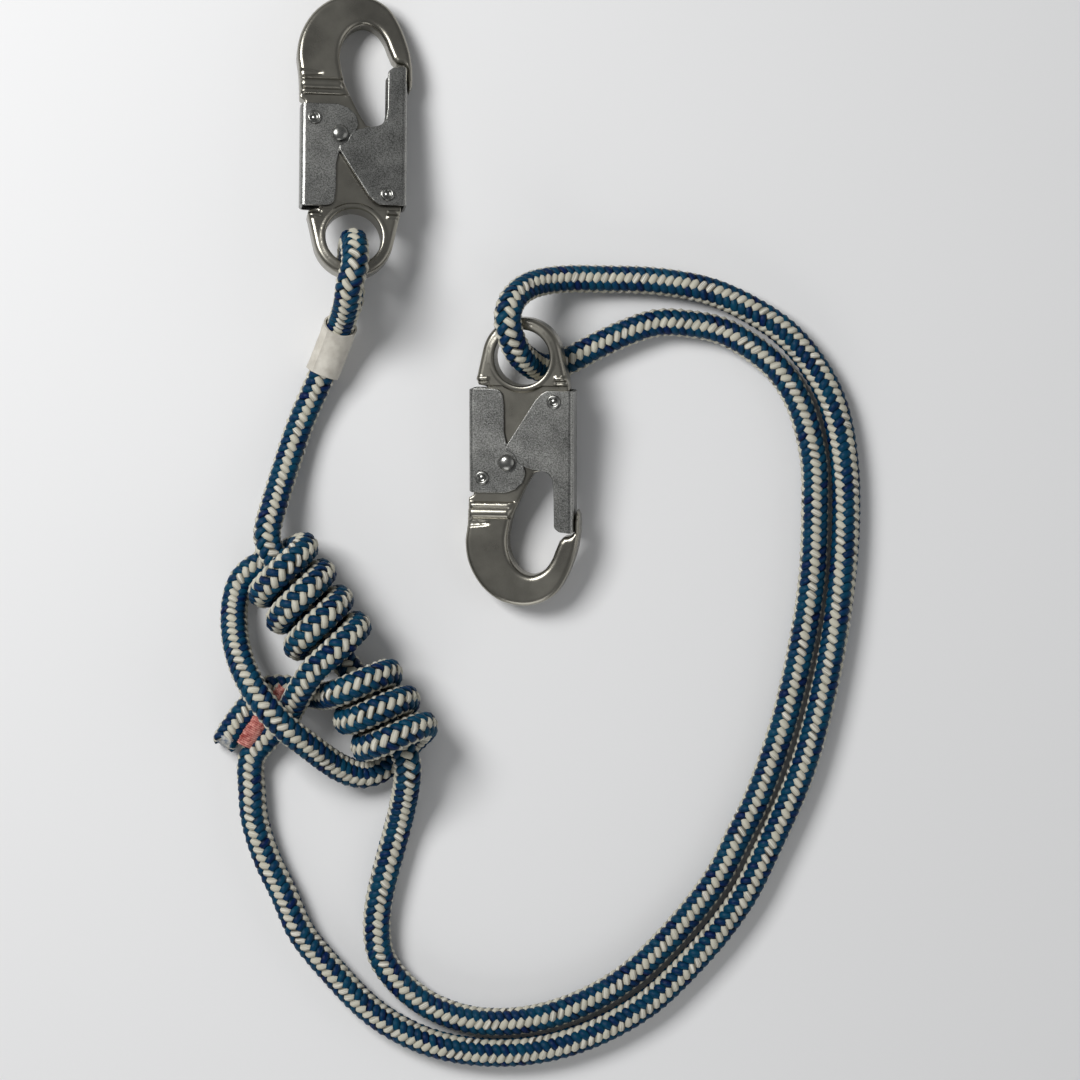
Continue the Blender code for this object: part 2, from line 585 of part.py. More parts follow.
def slot_outline(place, radius, travel, angle):
    """A slot with round ends from a place, along a travel."""
    points = []
    for centre, start in ((0.0, angle + math.pi / 2), (travel, angle - math.pi / 2)):
        middle = (place[0] + centre * math.cos(angle), place[1] + centre * math.sin(angle))
        for point in arc(radius, start, start + math.pi, ROUND_STEPS // 2):
            points.append((middle[0] + point[0], middle[1] + point[1]))
    return points


def forging_mesh(model):
    """The forged body: eye with its bead, thinner web with slots for the mechanism, spine and hook."""
    hole = arc(EYE_HOLE_RADIUS, 0.0, 2 * math.pi * (1 - 1 / ROUND_STEPS), ROUND_STEPS - 1)
    mesh = plate_mesh(model, [forging_outline(), hole], HALF_FORGING, FORGING_EDGE)
    for side in (1, -1):
        recess = plate_mesh(model, [recess_outline()], OVERRUN / 2)
        recess.transform(Matrix.Translation((0.0, 0.0, side * (HALF_WEB + OVERRUN / 2))))
        mesh = combine(model, mesh, recess)
    slot = SPRING_SLOT
    half = slot / 2
    gate_x, gate_y = GATE_RIVET_PLACE
    lever_x, lever_y = LEVER_RIVET_PLACE
    mesh = combine(model, mesh, box_mesh((gate_x - slot, gate_y - slot, -half), (gate_x + slot, OVERRUN, half)))
    mesh = combine(model, mesh, box_mesh((lever_x - slot, -OVERRUN, -half), (lever_x + slot, lever_y + slot, half)))
    for place in (GATE_RIVET_PLACE, LEVER_RIVET_PLACE):
        mesh = combine(model, mesh, rod_mesh(place, RIVET_RADIUS + CLEARANCE))
    slot_line = slot_outline(LOCK_PIN_PLACE, PIN_RADIUS + CLEARANCE, PIN_TRAVEL, PIN_TRAVEL_ANGLE)
    return in_triangles(combine(model, mesh, plate_mesh(model, [slot_line], OVERRUN / 2)))


def folded_mesh(model, shares, inner, outer, low, high, holes):
    """A sheet folded into a channel: the outline's plate, hollowed by a box that leaves its walls."""
    mesh = plate_mesh(model, [snap_points(shares)], outer, SHEET_EDGE)
    mesh = combine(model, mesh, box_mesh((*low, -inner), (*high, inner)))
    for place, radius in holes:
        mesh = combine(model, mesh, rod_mesh(place, radius + CLEARANCE))
    return in_triangles(mesh)


def gate_mesh(model):
    """The gate: a channel whose closed side is the finger's outer face, with a wing on each side."""
    low = (-OVERRUN, -OVERRUN)
    high = (GATE_END_FACE, GATE_WALL_FACE)
    return folded_mesh(model, GATE_SHARES, GATE_INNER, GATE_OUTER, low, high, [(GATE_RIVET_PLACE, RIVET_RADIUS)])


def lever_mesh(model):
    """The lock lever: a channel round the spine."""
    low = (-OVERRUN, LEVER_WALL_FACE)
    high = (2 * HOOK_REACH, OVERRUN)
    holes = [(LEVER_RIVET_PLACE, RIVET_RADIUS), (LOCK_PIN_PLACE, PIN_RADIUS)]
    return folded_mesh(model, LEVER_SHARES, LEVER_INNER, LEVER_OUTER, low, high, holes)


def rivet_profile(outer_face):
    """Half profile of a rivet with two flat heads and a bore in each end."""
    head = outer_face + CLEARANCE
    top = head + RIVET_HEAD
    edge = RIVET_HEAD_RADIUS
    upper = [(0.0, top - RIVET_BORE_DEPTH), (RIVET_BORE_RADIUS, top - RIVET_BORE_DEPTH), (RIVET_BORE_RADIUS, top),
             (edge - RIVET_CHAMFER, top), (edge, top - RIVET_CHAMFER), (edge, head), (RIVET_RADIUS, head)]
    return upper + [(radius, -height) for radius, height in reversed(upper)]


def pin_profile():
    """Half profile of the lock pin with its two domed heads."""
    head = GATE_OUTER + CLEARANCE
    upper = [(0.0, head + PIN_DOME)]
    for share in (0.35, 0.7, 0.92):
        upper.append((PIN_HEAD_RADIUS * share, head + PIN_DOME * math.sqrt(1 - share * share)))
    upper += [(PIN_HEAD_RADIUS, head), (PIN_RADIUS, head)]
    return upper + [(radius, -height) for radius, height in reversed(upper)]


def spring_points():
    """A torsion spring's wire: a tail, the curls and a tail."""
    curls = round(SPRING_TURNS * SPRING_STEPS)
    height = SPRING_TURNS * SPRING_PITCH
    points = [Vector((SPRING_RADIUS, -SPRING_TAIL, -height / 2))]
    for index in range(curls + 1):
        angle = 2 * math.pi * index / SPRING_STEPS
        rise = height * (index / curls - 1 / 2)
        points.append(Vector((SPRING_RADIUS * math.cos(angle), SPRING_RADIUS * math.sin(angle), rise)))
    last = 2 * math.pi * curls / SPRING_STEPS
    along = Vector((-math.sin(last), math.cos(last), 0.0))
    points.append(points[-1] + along * SPRING_TAIL)
    return points


class Snap:
    """One double-locking snap hook, built in its own frame and then laid down."""

    def __init__(self, model, number, eye, pitch, roll, face):
        self.model = model
        self.name = f"snap_{number}"
        facing = Matrix(((0, 1, 0), (-face, 0, 0), (0, 0, face)))
        self.turn = facing @ Matrix.Rotation(face * pitch, 3, "Y") @ Matrix.Rotation(face * roll, 3, "X")
        matrix = Matrix.Translation((*eye, self.seat_height())) @ self.turn.to_4x4()
        self.frame = model.frame(f"{self.name}_frame", matrix)
        self.matrix = matrix
        self.face = face

    def seat_height(self):
        """Height of the eye's centre at which the hook's end touches the ground."""
        lowest = 0.0
        for along, across in forging_outline():
            for half in (HALF_FORGING - FORGING_EDGE, FORGING_EDGE - HALF_FORGING):
                lowest = min(lowest, (self.turn @ Vector((along, across, half))).z)
        for along, across in snap_points(HOOK_BACK_SHARES):
            inward = 1 - FORGING_EDGE / math.hypot(along, across)
            for half in (HALF_FORGING, -HALF_FORGING):
                lowest = min(lowest, (self.turn @ Vector((along * inward, across * inward, half))).z)
        return -lowest

    def axis_frame(self, word, place):
        """An empty on a rivet's axis."""
        return self.model.frame(f"{self.name}_{word}_axis", Matrix.Translation((*place, 0.0)), self.frame)

    def put(self, word, mesh, material, parent, offset=(0.0, 0.0, 0.0)):
        """Add one of the snap's sub-parts."""
        item = self.model.part(f"{self.name}_{word}", mesh, material)
        item.parent = parent
        item.location = offset
        return item

    def build(self, meshes):
        """Add every sub-part of the snap."""
        model = self.model
        gate_axis = self.axis_frame("gate", GATE_RIVET_PLACE)
        lever_axis = self.axis_frame("lever", LEVER_RIVET_PLACE)
        gate_offset = (-GATE_RIVET_PLACE[0], -GATE_RIVET_PLACE[1], 0.0)
        lever_offset = (-LEVER_RIVET_PLACE[0], -LEVER_RIVET_PLACE[1], 0.0)
        pin_offset = (*LEVER_ARM, 0.0)
        self.put("forging", meshes["forging"].copy(), model.steel, self.frame)
        self.put("gate", meshes["gate"].copy(), model.sheet, gate_axis, gate_offset)
        self.put("lock_lever", meshes["lever"].copy(), model.sheet, lever_axis, lever_offset)
        gate_rivet = turned_part(model, f"{self.name}_gate_rivet", rivet_profile(GATE_OUTER), model.rivet)
        lever_rivet = turned_part(model, f"{self.name}_lever_rivet", rivet_profile(LEVER_OUTER), model.rivet)
        lock_pin = turned_part(model, f"{self.name}_lock_pin", pin_profile(), model.rivet)
        for item, parent, offset in ((gate_rivet, self.frame, (*GATE_RIVET_PLACE, 0.0)),
                                     (lever_rivet, self.frame, (*LEVER_RIVET_PLACE, 0.0)),
                                     (lock_pin, lever_axis, pin_offset)):
            item.parent = parent
            item.location = offset
        for word, place in (("gate_spring", GATE_RIVET_PLACE), ("lever_spring", LEVER_RIVET_PLACE)):
            wire = tube_curve(spring_points(), SPRING_WIRE / 2, WINDING_RESOLUTION)
            self.put(word, wire, model.spring, self.frame, (*place, 0.0))

    def bight(self):
        """The rope's way round the eye's rim: over it, through the hole and under it."""
        rim = Vector((-EYE_HOLE_RADIUS - EYE_BAR / 2, 0.0, 0.0))
        points = []
        for degrees in (90, 60, 30, 0, -30, -60, -90):
            angle = math.radians(degrees)
            inward = BIGHT_RADIUS * math.cos(angle)
            upward = self.face * BIGHT_RADIUS * math.sin(angle)
            points.append(self.matrix @ (rim + Vector((inward, 0.0, upward))))
        return points


def main():
    """Build the lanyard."""
    empty_scene()
    model = Model()
    meshes = {"forging": forging_mesh(model), "gate": gate_mesh(model), "lever": lever_mesh(model)}
    first = Snap(model, 1, SNAP_1_EYE, SNAP_1_PITCH, SNAP_1_ROLL, SNAP_1_FACE)
    second = Snap(model, 2, SNAP_2_EYE, SNAP_2_PITCH, SNAP_2_ROLL, SNAP_2_FACE)
    for snap in (first, second):
        snap.build(meshes)
        print(snap.name, "eye centre height, mm:", round(snap.matrix.translation.z / MM, 2))
    make_rope(model, first.bight())


main()
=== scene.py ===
"""Looks of the tree climbing lanyard: braided rope, friction hitch, label sleeve, stitched band and two snaps.

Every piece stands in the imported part's frame. The rope is one line from its spliced end, round the first
snap's eye, through the hitch, round the second snap's eye and back into the hitch's wraps.
"""
from __future__ import annotations

import json
import logging
import math
from collections.abc import Callable, Iterable
from dataclasses import dataclass, field
from enum import Enum

import bmesh
import bpy
import numpy as np
from bpy.types import ID, Material, Mesh, Node, NodeSocket, NodeTree, Object
from mathutils import Matrix, Vector
from mathutils.geometry import delaunay_2d_cdt

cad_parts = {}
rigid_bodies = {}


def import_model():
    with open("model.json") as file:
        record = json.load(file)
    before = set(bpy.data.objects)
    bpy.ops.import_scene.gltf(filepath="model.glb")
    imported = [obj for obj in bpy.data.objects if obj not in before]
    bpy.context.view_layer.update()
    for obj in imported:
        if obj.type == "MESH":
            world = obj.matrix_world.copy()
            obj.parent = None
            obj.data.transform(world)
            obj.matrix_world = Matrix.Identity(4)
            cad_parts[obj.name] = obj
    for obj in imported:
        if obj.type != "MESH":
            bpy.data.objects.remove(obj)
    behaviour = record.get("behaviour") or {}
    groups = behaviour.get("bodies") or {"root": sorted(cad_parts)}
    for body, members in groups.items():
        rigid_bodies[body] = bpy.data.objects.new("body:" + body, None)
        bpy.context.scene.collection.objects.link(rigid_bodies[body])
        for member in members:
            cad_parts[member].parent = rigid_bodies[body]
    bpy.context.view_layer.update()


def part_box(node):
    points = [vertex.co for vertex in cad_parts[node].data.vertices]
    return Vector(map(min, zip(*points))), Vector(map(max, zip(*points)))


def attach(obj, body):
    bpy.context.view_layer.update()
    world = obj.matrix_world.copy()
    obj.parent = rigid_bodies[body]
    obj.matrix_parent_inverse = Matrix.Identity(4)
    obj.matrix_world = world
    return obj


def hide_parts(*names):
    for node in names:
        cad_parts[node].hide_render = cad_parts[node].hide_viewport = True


LOG = logging.getLogger("lanyard")
MM = 0.001
ROPE_BODY = "rope"

Pair = tuple[float, float]
Triple = tuple[float, float, float]
Outline = list[Pair]
Route = list[Triple]

UP = Vector((0.0, 0.0, 1.0))
MERGE_GAP = 0.002 * MM
# How many points each span of a smooth line gets
OUTLINE_SPAN, SHORT_SPAN, SPAN, LONG_SPAN, BAND_SPAN = 6, 10, 12, 16, 20
# How finely a corner is rounded, the turn under which it counts as straight, and the share of a side that it may take
FILLET_STEPS = 4
STRAIGHT = math.radians(4)
SIDE_SHARE = 0.46

# Routes of the rope's centre line in millimetres, as in the part's source
SPLICE_FRONT: Route = [
    (-37.9, 6.0, 37.4), (-39.0, -0.8, 32.4), (-40.6, -6.0, 25.0), (-42.7, -10.6, 18.2), (-45.0, -16.0, 14.2)]
SPLICE_BACK: Route = [(-38.6, 2.5, 11.0), (-40.2, -3.0, 13.2), (-41.9, -8.0, 16.4), (-43.3, -12.2, 17.0)]
SPLICE_END = (-47.4, -22.0, 11.8)
LEAD: Route = [
    (-50.4, -29.0, 9.8), (-53.4, -36.0, 8.4), (-57.4, -44.5, 7.1), (-61.3, -53.5, 6.6), (-65.0, -64.5, 7.2),
    (-68.6, -76.0, 9.2), (-71.6, -86.5, 12.8), (-74.0, -95.8, 17.0), (-75.3, -102.8, 19.6)]
EXIT: Route = [
    (-14.0, -200.5, 20.4), (-13.6, -207.5, 18.6), (-14.6, -215.0, 14.0), (-16.3, -223.0, 9.8), (-18.4, -231.5, 7.2),
    (-20.7, -240.0, 6.5)]
INNER: Route = [
    (-24.0, -252.0, 6.5), (-26.8, -264.5, 6.5), (-27.8, -276.0, 6.5), (-25.8, -289.0, 6.5), (-17.6, -300.4, 6.5),
    (-5.0, -310.2, 6.5), (12.0, -316.5, 6.5), (26.7, -317.8, 6.5), (41.1, -316.4, 6.5), (55.0, -312.6, 6.5),
    (69.3, -306.4, 6.5), (83.8, -297.2, 6.5), (97.3, -284.9, 6.5), (111.5, -268.9, 6.5), (122.7, -253.6, 6.5),
    (131.3, -236.7, 6.5), (139.4, -220.5, 6.5), (150.6, -189.4, 6.5), (158.9, -155.3, 6.5), (164.3, -121.2, 6.5),
    (165.5, -87.7, 6.5), (165.2, -72.3, 6.5), (162.5, -57.4, 6.5), (158.3, -44.6, 6.5), (150.0, -31.0, 6.5),
    (138.0, -20.6, 6.5), (124.0, -12.8, 6.5), (110.0, -9.9, 6.5), (97.0, -9.3, 6.5), (86.0, -12.3, 6.5)]
TURN: Route = [
    (69.0, -19.8, 6.5), (62.0, -23.6, 6.5), (55.8, -26.8, 6.6), (50.4, -28.8, 6.9), (45.7, -29.6, 9.3),
    (41.6, -28.7, 14.2), (38.5, -26.7, 20.1), (35.2, -24.2, 26.2), (32.6, -19.4, 30.8), (30.6, -13.6, 33.2),
    (30.2, -7.4, 33.0), (32.2, -1.2, 29.6), (37.0, 4.2, 23.4), (44.6, 7.8, 16.2)]
OUTER: Route = [
    (56.0, 9.6, 10.4), (71.0, 9.8, 7.0), (92.7, 9.2, 6.5), (108.6, 7.0, 6.5), (121.4, 3.7, 6.5), (138.1, -4.2, 6.5),
    (153.1, -14.5, 6.5), (165.6, -29.5, 6.5), (173.8, -45.8, 6.5), (178.6, -70.9, 6.5), (179.1, -103.1, 6.5),
    (175.3, -140.5, 6.5), (168.5, -175.8, 6.5), (159.2, -208.4, 6.5), (143.7, -243.2, 6.5), (134.9, -260.8, 6.5),
    (122.9, -277.8, 6.5), (107.6, -294.8, 6.5), (93.0, -308.5, 6.5), (76.4, -318.8, 6.5), (59.7, -325.9, 6.5),
    (43.3, -330.0, 6.5), (26.7, -331.4, 6.5), (9.9, -330.2, 6.5), (-5.0, -326.6, 6.5), (-19.2, -320.1, 6.5),
    (-31.5, -311.6, 6.5), (-47.6, -294.9, 6.5), (-61.2, -278.0, 6.5), (-68.6, -261.2, 6.5), (-76.8, -244.0, 6.5),
    (-81.7, -227.6, 6.5)]
BRIDGE: Route = [
    (-81.7, -117.6, 6.7), (-87.4, -123.3, 6.8), (-90.1, -132.6, 8.0), (-89.9, -143.6, 14.5), (-87.7, -153.7, 22.0),
    (-83.5, -163.9, 28.3), (-77.8, -173.1, 32.2), (-71.4, -181.3, 32.8), (-64.3, -188.5, 30.0), (-56.6, -194.9, 24.2),
    (-49.1, -201.3, 17.5), (-41.2, -206.6, 11.0), (-33.3, -208.6, 7.4), (-25.3, -205.7, 6.7)]
# The hitch's two legs in millimetres across its axis, along it, and above the ground
LEG_IN: Route = [
    (-65.4, 28.0, 6.7), (-62.2, 22.2, 6.7), (-57.4, 16.5, 6.7), (-51.6, 14.8, 6.7), (-46.0, 13.4, 6.7),
    (-41.0, 12.4, 7.8), (-36.5, 11.4, 12.2), (-32.0, 9.8, 18.2), (-27.0, 7.4, 23.9), (-22.0, 4.8, 28.6),
    (-16.5, 2.3, 31.8), (-10.5, 0.3, 33.3)]
LEG_OUT: Route = [
    (-13.9, 13.6, 22.0), (-16.8, 12.3, 15.5), (-20.5, 9.5, 10.0), (-25.5, 4.0, 7.1), (-31.5, -1.4, 6.7),
    (-38.0, -4.1, 6.7), (-45.0, -2.2, 6.7), (-52.0, 0.0, 6.7), (-58.4, 2.4, 6.9), (-64.6, 5.6, 8.8)]
# The red band's line, in the same way
BAND_ROUTE: Route = [
    (-57.5, 11.0, 10.9), (-52.0, 8.8, 11.1), (-45.0, 6.2, 11.3), (-38.0, 3.8, 11.7), (-33.0, 1.9, 12.2),
    (-29.0, 0.9, 12.4)]
# How far the rope's white column leans from straight up, as metres along the rope and degrees
LEANS: list[Pair] = [
    (0.113, 0.0), (0.135, -11.0), (0.165, 0.0), (0.190, -9.0), (0.310, -11.0), (0.355, -24.0), (0.395, -10.0),
    (0.417, 0.0), (0.435, 17.0), (0.462, 10.0), (0.492, 5.0), (0.550, 3.0), (0.625, 0.0), (0.779, 6.0), (0.836, 0.0),
    (0.889, -10.0), (0.911, 0.0), (1.024, 0.0), (1.068, -4.0), (1.112, -25.0), (1.156, -37.0), (1.200, -50.0),
    (1.244, -66.0), (1.275, -80.0), (1.332, -90.0), (1.377, -100.0), (1.421, -112.0), (1.504, -118.0),
    (1.531, -112.0), (1.690, -112.0), (1.700, -90.0)]

# Outlines of a snap, in shares of its reach along it and of its half width across it
LUG: Outline = [(0.096, 0.800), (0.122, 0.812), (0.190, 0.805), (0.300, 0.655), (0.420, 0.465), (0.450, 0.390)]
MOUTH: Outline = [
    (0.462, 0.200), (0.522, 0.047), (0.583, -0.078), (0.632, -0.169), (0.678, -0.224), (0.745, -0.259), (0.812, -0.192),
    (0.859, -0.035), (0.876, 0.169), (0.853, 0.384), (0.812, 0.514), (0.772, 0.584), (0.735, 0.650)]
NOSE: Outline = [(0.718, 0.720), (0.714, 0.835), (0.698, 0.908), (0.632, 0.908), (0.608, 0.950), (0.630, 0.996)]
HOOK_BACK: Outline = [
    (0.700, 0.992), (0.772, 0.942), (0.879, 0.773), (0.950, 0.570), (0.987, 0.310), (1.000, 0.000), (0.984, -0.350),
    (0.950, -0.590), (0.900, -0.785), (0.826, -0.941), (0.745, -0.992), (0.691, -0.965)]
SPINE: Outline = [
    (0.632, -0.945), (0.566, -0.937), (0.553, -0.850), (0.482, -0.845), (0.403, -0.795), (0.275, -0.700),
    (0.128, -0.590), (0.116, -0.620), (0.108, -0.770), (0.086, -0.790)]
LEVER: Outline = [
    (0.140, -0.925), (0.126, -0.900), (0.123, -0.840), (0.123, -0.480), (0.128, -0.390), (0.145, -0.335),
    (0.190, -0.310), (0.300, -0.305), (0.345, -0.255), (0.385, -0.110), (0.412, 0.010), (0.462, 0.066),
    (0.500, 0.020), (0.528, -0.110), (0.543, -0.290), (0.543, -0.860), (0.530, -0.925)]
GATE: Outline = [
    (0.130, 0.430), (0.130, 0.870), (0.142, 0.902), (0.690, 0.902), (0.702, 0.860), (0.697, 0.655), (0.680, 0.565),
    (0.525, 0.560), (0.485, 0.535), (0.462, 0.470), (0.452, 0.380), (0.446, 0.200), (0.437, 0.060), (0.418, -0.070),
    (0.386, -0.130), (0.376, -0.200), (0.368, -0.270), (0.352, -0.265), (0.168, 0.240), (0.145, 0.330)]

# Half profiles of the pins' heads in millimetres, from the middle to the shank
RIVET_HEAD: Outline = [
    (0.0, 0.28), (0.55, 0.22), (1.0, 0.02), (1.3, 0.12), (1.6, 0.55), (1.95, 0.86), (2.35, 0.95), (2.75, 0.82),
    (3.02, 0.5), (3.1, 0.12), (3.0, 0.0), (2.3, 0.0)]
PIN_HEAD: Outline = [
    (0.0, 1.5), (0.8, 1.46), (1.6, 1.33), (2.3, 1.08), (2.9, 0.72), (3.3, 0.35), (3.5, 0.08), (3.42, 0.0), (2.0, 0.0)]
# The forging's relief in millimetres: the middle, half width and height of each round ridge or groove
EYE_BEAD: list[Triple] = [(13.5, 1.15, 0.22)]
NECK_RIDGES: list[Triple] = [(64.9, 0.85, 0.5), (68.3, 2.0, 1.1)]
EAR_WAVES: list[Triple] = [(8.9, 0.9, 0.6), (11.0, 1.1, -1.0)]
# The V at the hook's neck: how far along the snap each line of points is at the V's open and at its close end
VEE_RAILS: list[Pair] = [(70.3, 71.5), (71.4, 72.58), (73.8, 72.62), (74.9, 73.7)]
# The half profile of the rope's melted end in millimetres
MELTED_END: Outline = [
    (0.0, 1.15), (1.4, 1.1), (2.8, 0.95), (4.0, 0.7), (5.0, 0.3), (5.7, -0.3), (5.95, -1.1), (5.6, -2.2), (0.0, -2.2)]
# The lamps: where each stands from the middle of the picture, its size and its power
LAMPS: dict[str, tuple[Triple, float, float]] = {
    "key": ((-0.75, 0.55, 1.10), 0.6, 18.0),
    "fill": ((1.0, -0.1, 0.50), 0.9, 1.7),
    "front": ((-0.15, -1.1, 0.34), 0.8, 3.4)}


class Slot(Enum):
    """The record's material slots."""

    ROPE = "rope"
    LABEL = "label"
    THREAD = "thread"
    FORGED = "forged_steel"
    SHEET = "sheet_steel"
    RIVET = "rivet_steel"
    SPRING = "spring_wire"


class Lay(Enum):
    """How a stretch of the rope lies."""

    LOOSE = "loose"
    COILED = "coiled"


def in_metres(route: Route) -> list[Vector]:
    """A route given in millimetres, in metres."""
    return [Vector(place) * MM for place in route]


def knot_mix(start: Vector, end: Vector, low: float, high: float, place: float) -> Vector:
    """The point at a place between two knots."""
    return start * ((high - place) / (high - low)) + end * ((place - low) / (high - low))


def smooth_line(
        route: list[Vector], steps: int, before: Vector | None = None, after: Vector | None = None) -> list[Vector]:
    """Points of a centripetal Catmull-Rom curve through a route.

    Args:
        route: the points that the curve passes through.
        steps: how many points each span gets.
        before: the neighbour in front of the first point.
        after: the neighbour behind the last point.

    Returns:
        The curve's points, with both ends of the route.
    """
    first = before if before is not None else 2 * route[0] - route[1]
    last = after if after is not None else 2 * route[-1] - route[-2]
    ends = [first, *route, last]
    out: list[Vector] = []
    for index in range(len(route) - 1):
        four = ends[index:index + 4]
        knots = [0.0]
        for start, end in zip(four, four[1:]):
            knots.append(knots[-1] + math.sqrt((end - start).length))
        for step in range(steps):
            place = knots[1] + (knots[2] - knots[1]) * step / steps
            three = [knot_mix(four[i], four[i + 1], knots[i], knots[i + 1], place) for i in range(3)]
            two = [knot_mix(three[i], three[i + 1], knots[i], knots[i + 2], place) for i in range(2)]
            out.append(knot_mix(two[0], two[1], knots[1], knots[2], place))
    out.append(route[-1])
    return out


def run_lengths(points: list[Vector]) -> list[float]:
    """Distances from the first point, along the points."""
    total = [0.0]
    for start, end in zip(points, points[1:]):
        total.append(total[-1] + (end - start).length)
    return total


def evenly(points: list[Vector], step: float) -> list[Vector]:
    """Points at even distances along a fine line, with both of its ends.

    Args:
        points: the fine line.
        step: about how far apart the new points are.

    Returns:
        The new points.
    """
    total = run_lengths(points)
    count = max(2, round(total[-1] / step))
    out: list[Vector] = []
    cursor = 0
    for index in range(count + 1):
        place = total[-1] * index / count
        while cursor < len(total) - 2 and total[cursor + 1] < place:
            cursor += 1
        share = (place - total[cursor]) / (total[cursor + 1] - total[cursor])
        out.append(points[cursor].lerp(points[cursor + 1], share))
    return out


class Nodes:
    """A hand that adds nodes to a tree, for shaders and for geometry."""

    def __init__(self, tree: NodeTree) -> None:
        """Take the tree that the nodes go into."""
        self.tree = tree

    def add(self, kind: str, settings: dict[str, object] | None = None, **inputs: object) -> Node:
        """Add a node, and set or link its inputs.

        Args:
            kind: the node's type name.
            settings: the node's own properties.
            **inputs: values or sockets, by the input's name with _ for a blank, or by its number as n0, n1.

        Returns:
            The new node.
        """
        node = self.tree.nodes.new(kind)
        for name, value in (settings or {}).items():
            setattr(node, name, value)
        for name, value in inputs.items():
            self.put(node, name, value)
        return node

    def put(self, node: Node, name: str, value: object) -> None:
        """Set or link one input of a node."""
        if name[0] == "n" and name[1:].isdigit():
            socket = node.inputs[int(name[1:])]
        else:
            wanted = name.replace("_", " ")
            socket = next(each for each in node.inputs if each.name == wanted and each.enabled)
        if isinstance(value, Node):
            value = next(each for each in value.outputs if each.enabled)
        if isinstance(value, NodeSocket):
            self.tree.links.new(value, socket)
        else:
            socket.default_value = value

    def math(self, operation: str, first: object, second: object = 0.0, third: object = 0.0) -> NodeSocket:
        """The result of a Math node."""
        return self.add("ShaderNodeMath", {"operation": operation}, n0=first, n1=second, n2=third).outputs[0]

    def scaled(self, vector: object, factor: object) -> NodeSocket:
        """A vector times a number."""
        return self.add("ShaderNodeVectorMath", {"operation": "SCALE"}, n0=vector, n3=factor).outputs[0]

    def summed(self, first: object, second: object) -> NodeSocket:
        """The sum of two vectors."""
        return self.add("ShaderNodeVectorMath", {"operation": "ADD"}, n0=first, n1=second).outputs[0]

    def joined(self, first: object, second: object, third: object) -> NodeSocket:
        """A vector made of three numbers."""
        return self.add("ShaderNodeCombineXYZ", n0=first, n1=second, n2=third).outputs[0]

    def noise(self, place: object, scale: float, detail: float, roughness: float) -> NodeSocket:
        """The value of a noise texture, for a shader."""
        return self.add(
            "ShaderNodeTexNoise", Vector=place, Scale=scale, Detail=detail, Roughness=roughness).outputs[0]

    def ramp(self, factor: object, stops: Iterable[tuple[float, Triple]]) -> NodeSocket:
        """Colours along a number, for a shader: a ramp of two colours."""
        node = self.add("ShaderNodeValToRGB", n0=factor)
        for element, (place, colour) in zip(node.color_ramp.elements, stops):
            element.position = place
            element.color = (*colour, 1.0)
        return node.outputs[0]

    def blended(self, factor: object, first: object, second: Triple) -> NodeSocket:
        """A colour mixed with a fixed one, for a shader."""
        settings = {"data_type": "RGBA", "blend_type": "MIX"}
        return self.add("ShaderNodeMix", settings, n0=factor, n6=first, n7=(*second, 1.0)).outputs[2]

    def bumped(self, shader: Node, height: object, strength: float, distance: float) -> None:
        """Give a shader a bump."""
        bump = self.add("ShaderNodeBump", Strength=strength, Distance=distance, Height=height)
        self.put(shader, "Normal", bump)

    def named(self, name: str, kind: str = "FLOAT_VECTOR") -> NodeSocket:
        """A named attribute of the geometry."""
        return self.add("GeometryNodeInputNamedAttribute", {"data_type": kind}, Name=name).outputs[0]

    def stored(self, geometry: object, name: str, value: object) -> Node:
        """Geometry that carries a number of each of its points under a name."""
        settings = {"data_type": "FLOAT", "domain": "POINT"}
        return self.add("GeometryNodeStoreNamedAttribute", settings, Geometry=geometry, Name=name, Value=value)

    def random(self, **inputs: object) -> NodeSocket:
        """A random number."""
        return self.add("FunctionNodeRandomValue", {"data_type": "FLOAT"}, **inputs).outputs[1]

    def ring(self, sides: int, radius: object) -> Node:
        """A circle with so many corners."""
        return self.add("GeometryNodeCurvePrimitiveCircle", {"mode": "RADIUS"}, Resolution=sides, Radius=radius)

    def tube(self, curve: object, section: object, **more: object) -> Node:
        """A closed tube along a curve."""
        return self.add("GeometryNodeCurveToMesh", Curve=curve, Profile_Curve=section, Fill_Caps=True, **more)

    def changed(self, word: str, geometry: object, **inputs: object) -> Node:
        """The result of a geometry node that needs nothing more than inputs."""
        return self.add(f"GeometryNode{word}", Geometry=geometry, **inputs)

    def end(self, geometry: object) -> NodeTree:
        """The tree, once it gives this geometry."""
        self.add("NodeGroupOutput", n0=geometry)
        return self.tree


def new_tree(name: str, inputs: dict[str, object], output: str) -> tuple[Nodes, dict[str, NodeSocket]]:
    """A Geometry Nodes tree with named inputs.

    Args:
        name: the tree's name.
        inputs: each input's default number by its name, or the word for its kind if it has no default.
        output: the name of the geometry that the tree gives.

    Returns:
        The hand for the tree's nodes, and its inputs' sockets by name.
    """
    tree = bpy.data.node_groups.new(name, "GeometryNodeTree")
    for label, value in inputs.items():
        kind = value if isinstance(value, str) else "Int" if isinstance(value, int) else "Float"
        socket = tree.interface.new_socket(label, in_out="INPUT", socket_type=f"NodeSocket{kind}")
        if not isinstance(value, str):
            socket.default_value = value
    tree.interface.new_socket(output, in_out="OUTPUT", socket_type="NodeSocketGeometry")
    nodes = Nodes(tree)
    return nodes, {socket.name: socket for socket in nodes.add("NodeGroupInput").outputs}


def new_material(name: str) -> tuple[Material, Nodes, Node]:
    """An empty Principled material, the hand for its nodes and its shader."""
    material = bpy.data.materials.new(name)
    material.use_nodes = True
    return material, Nodes(material.node_tree), material.node_tree.nodes["Principled BSDF"]


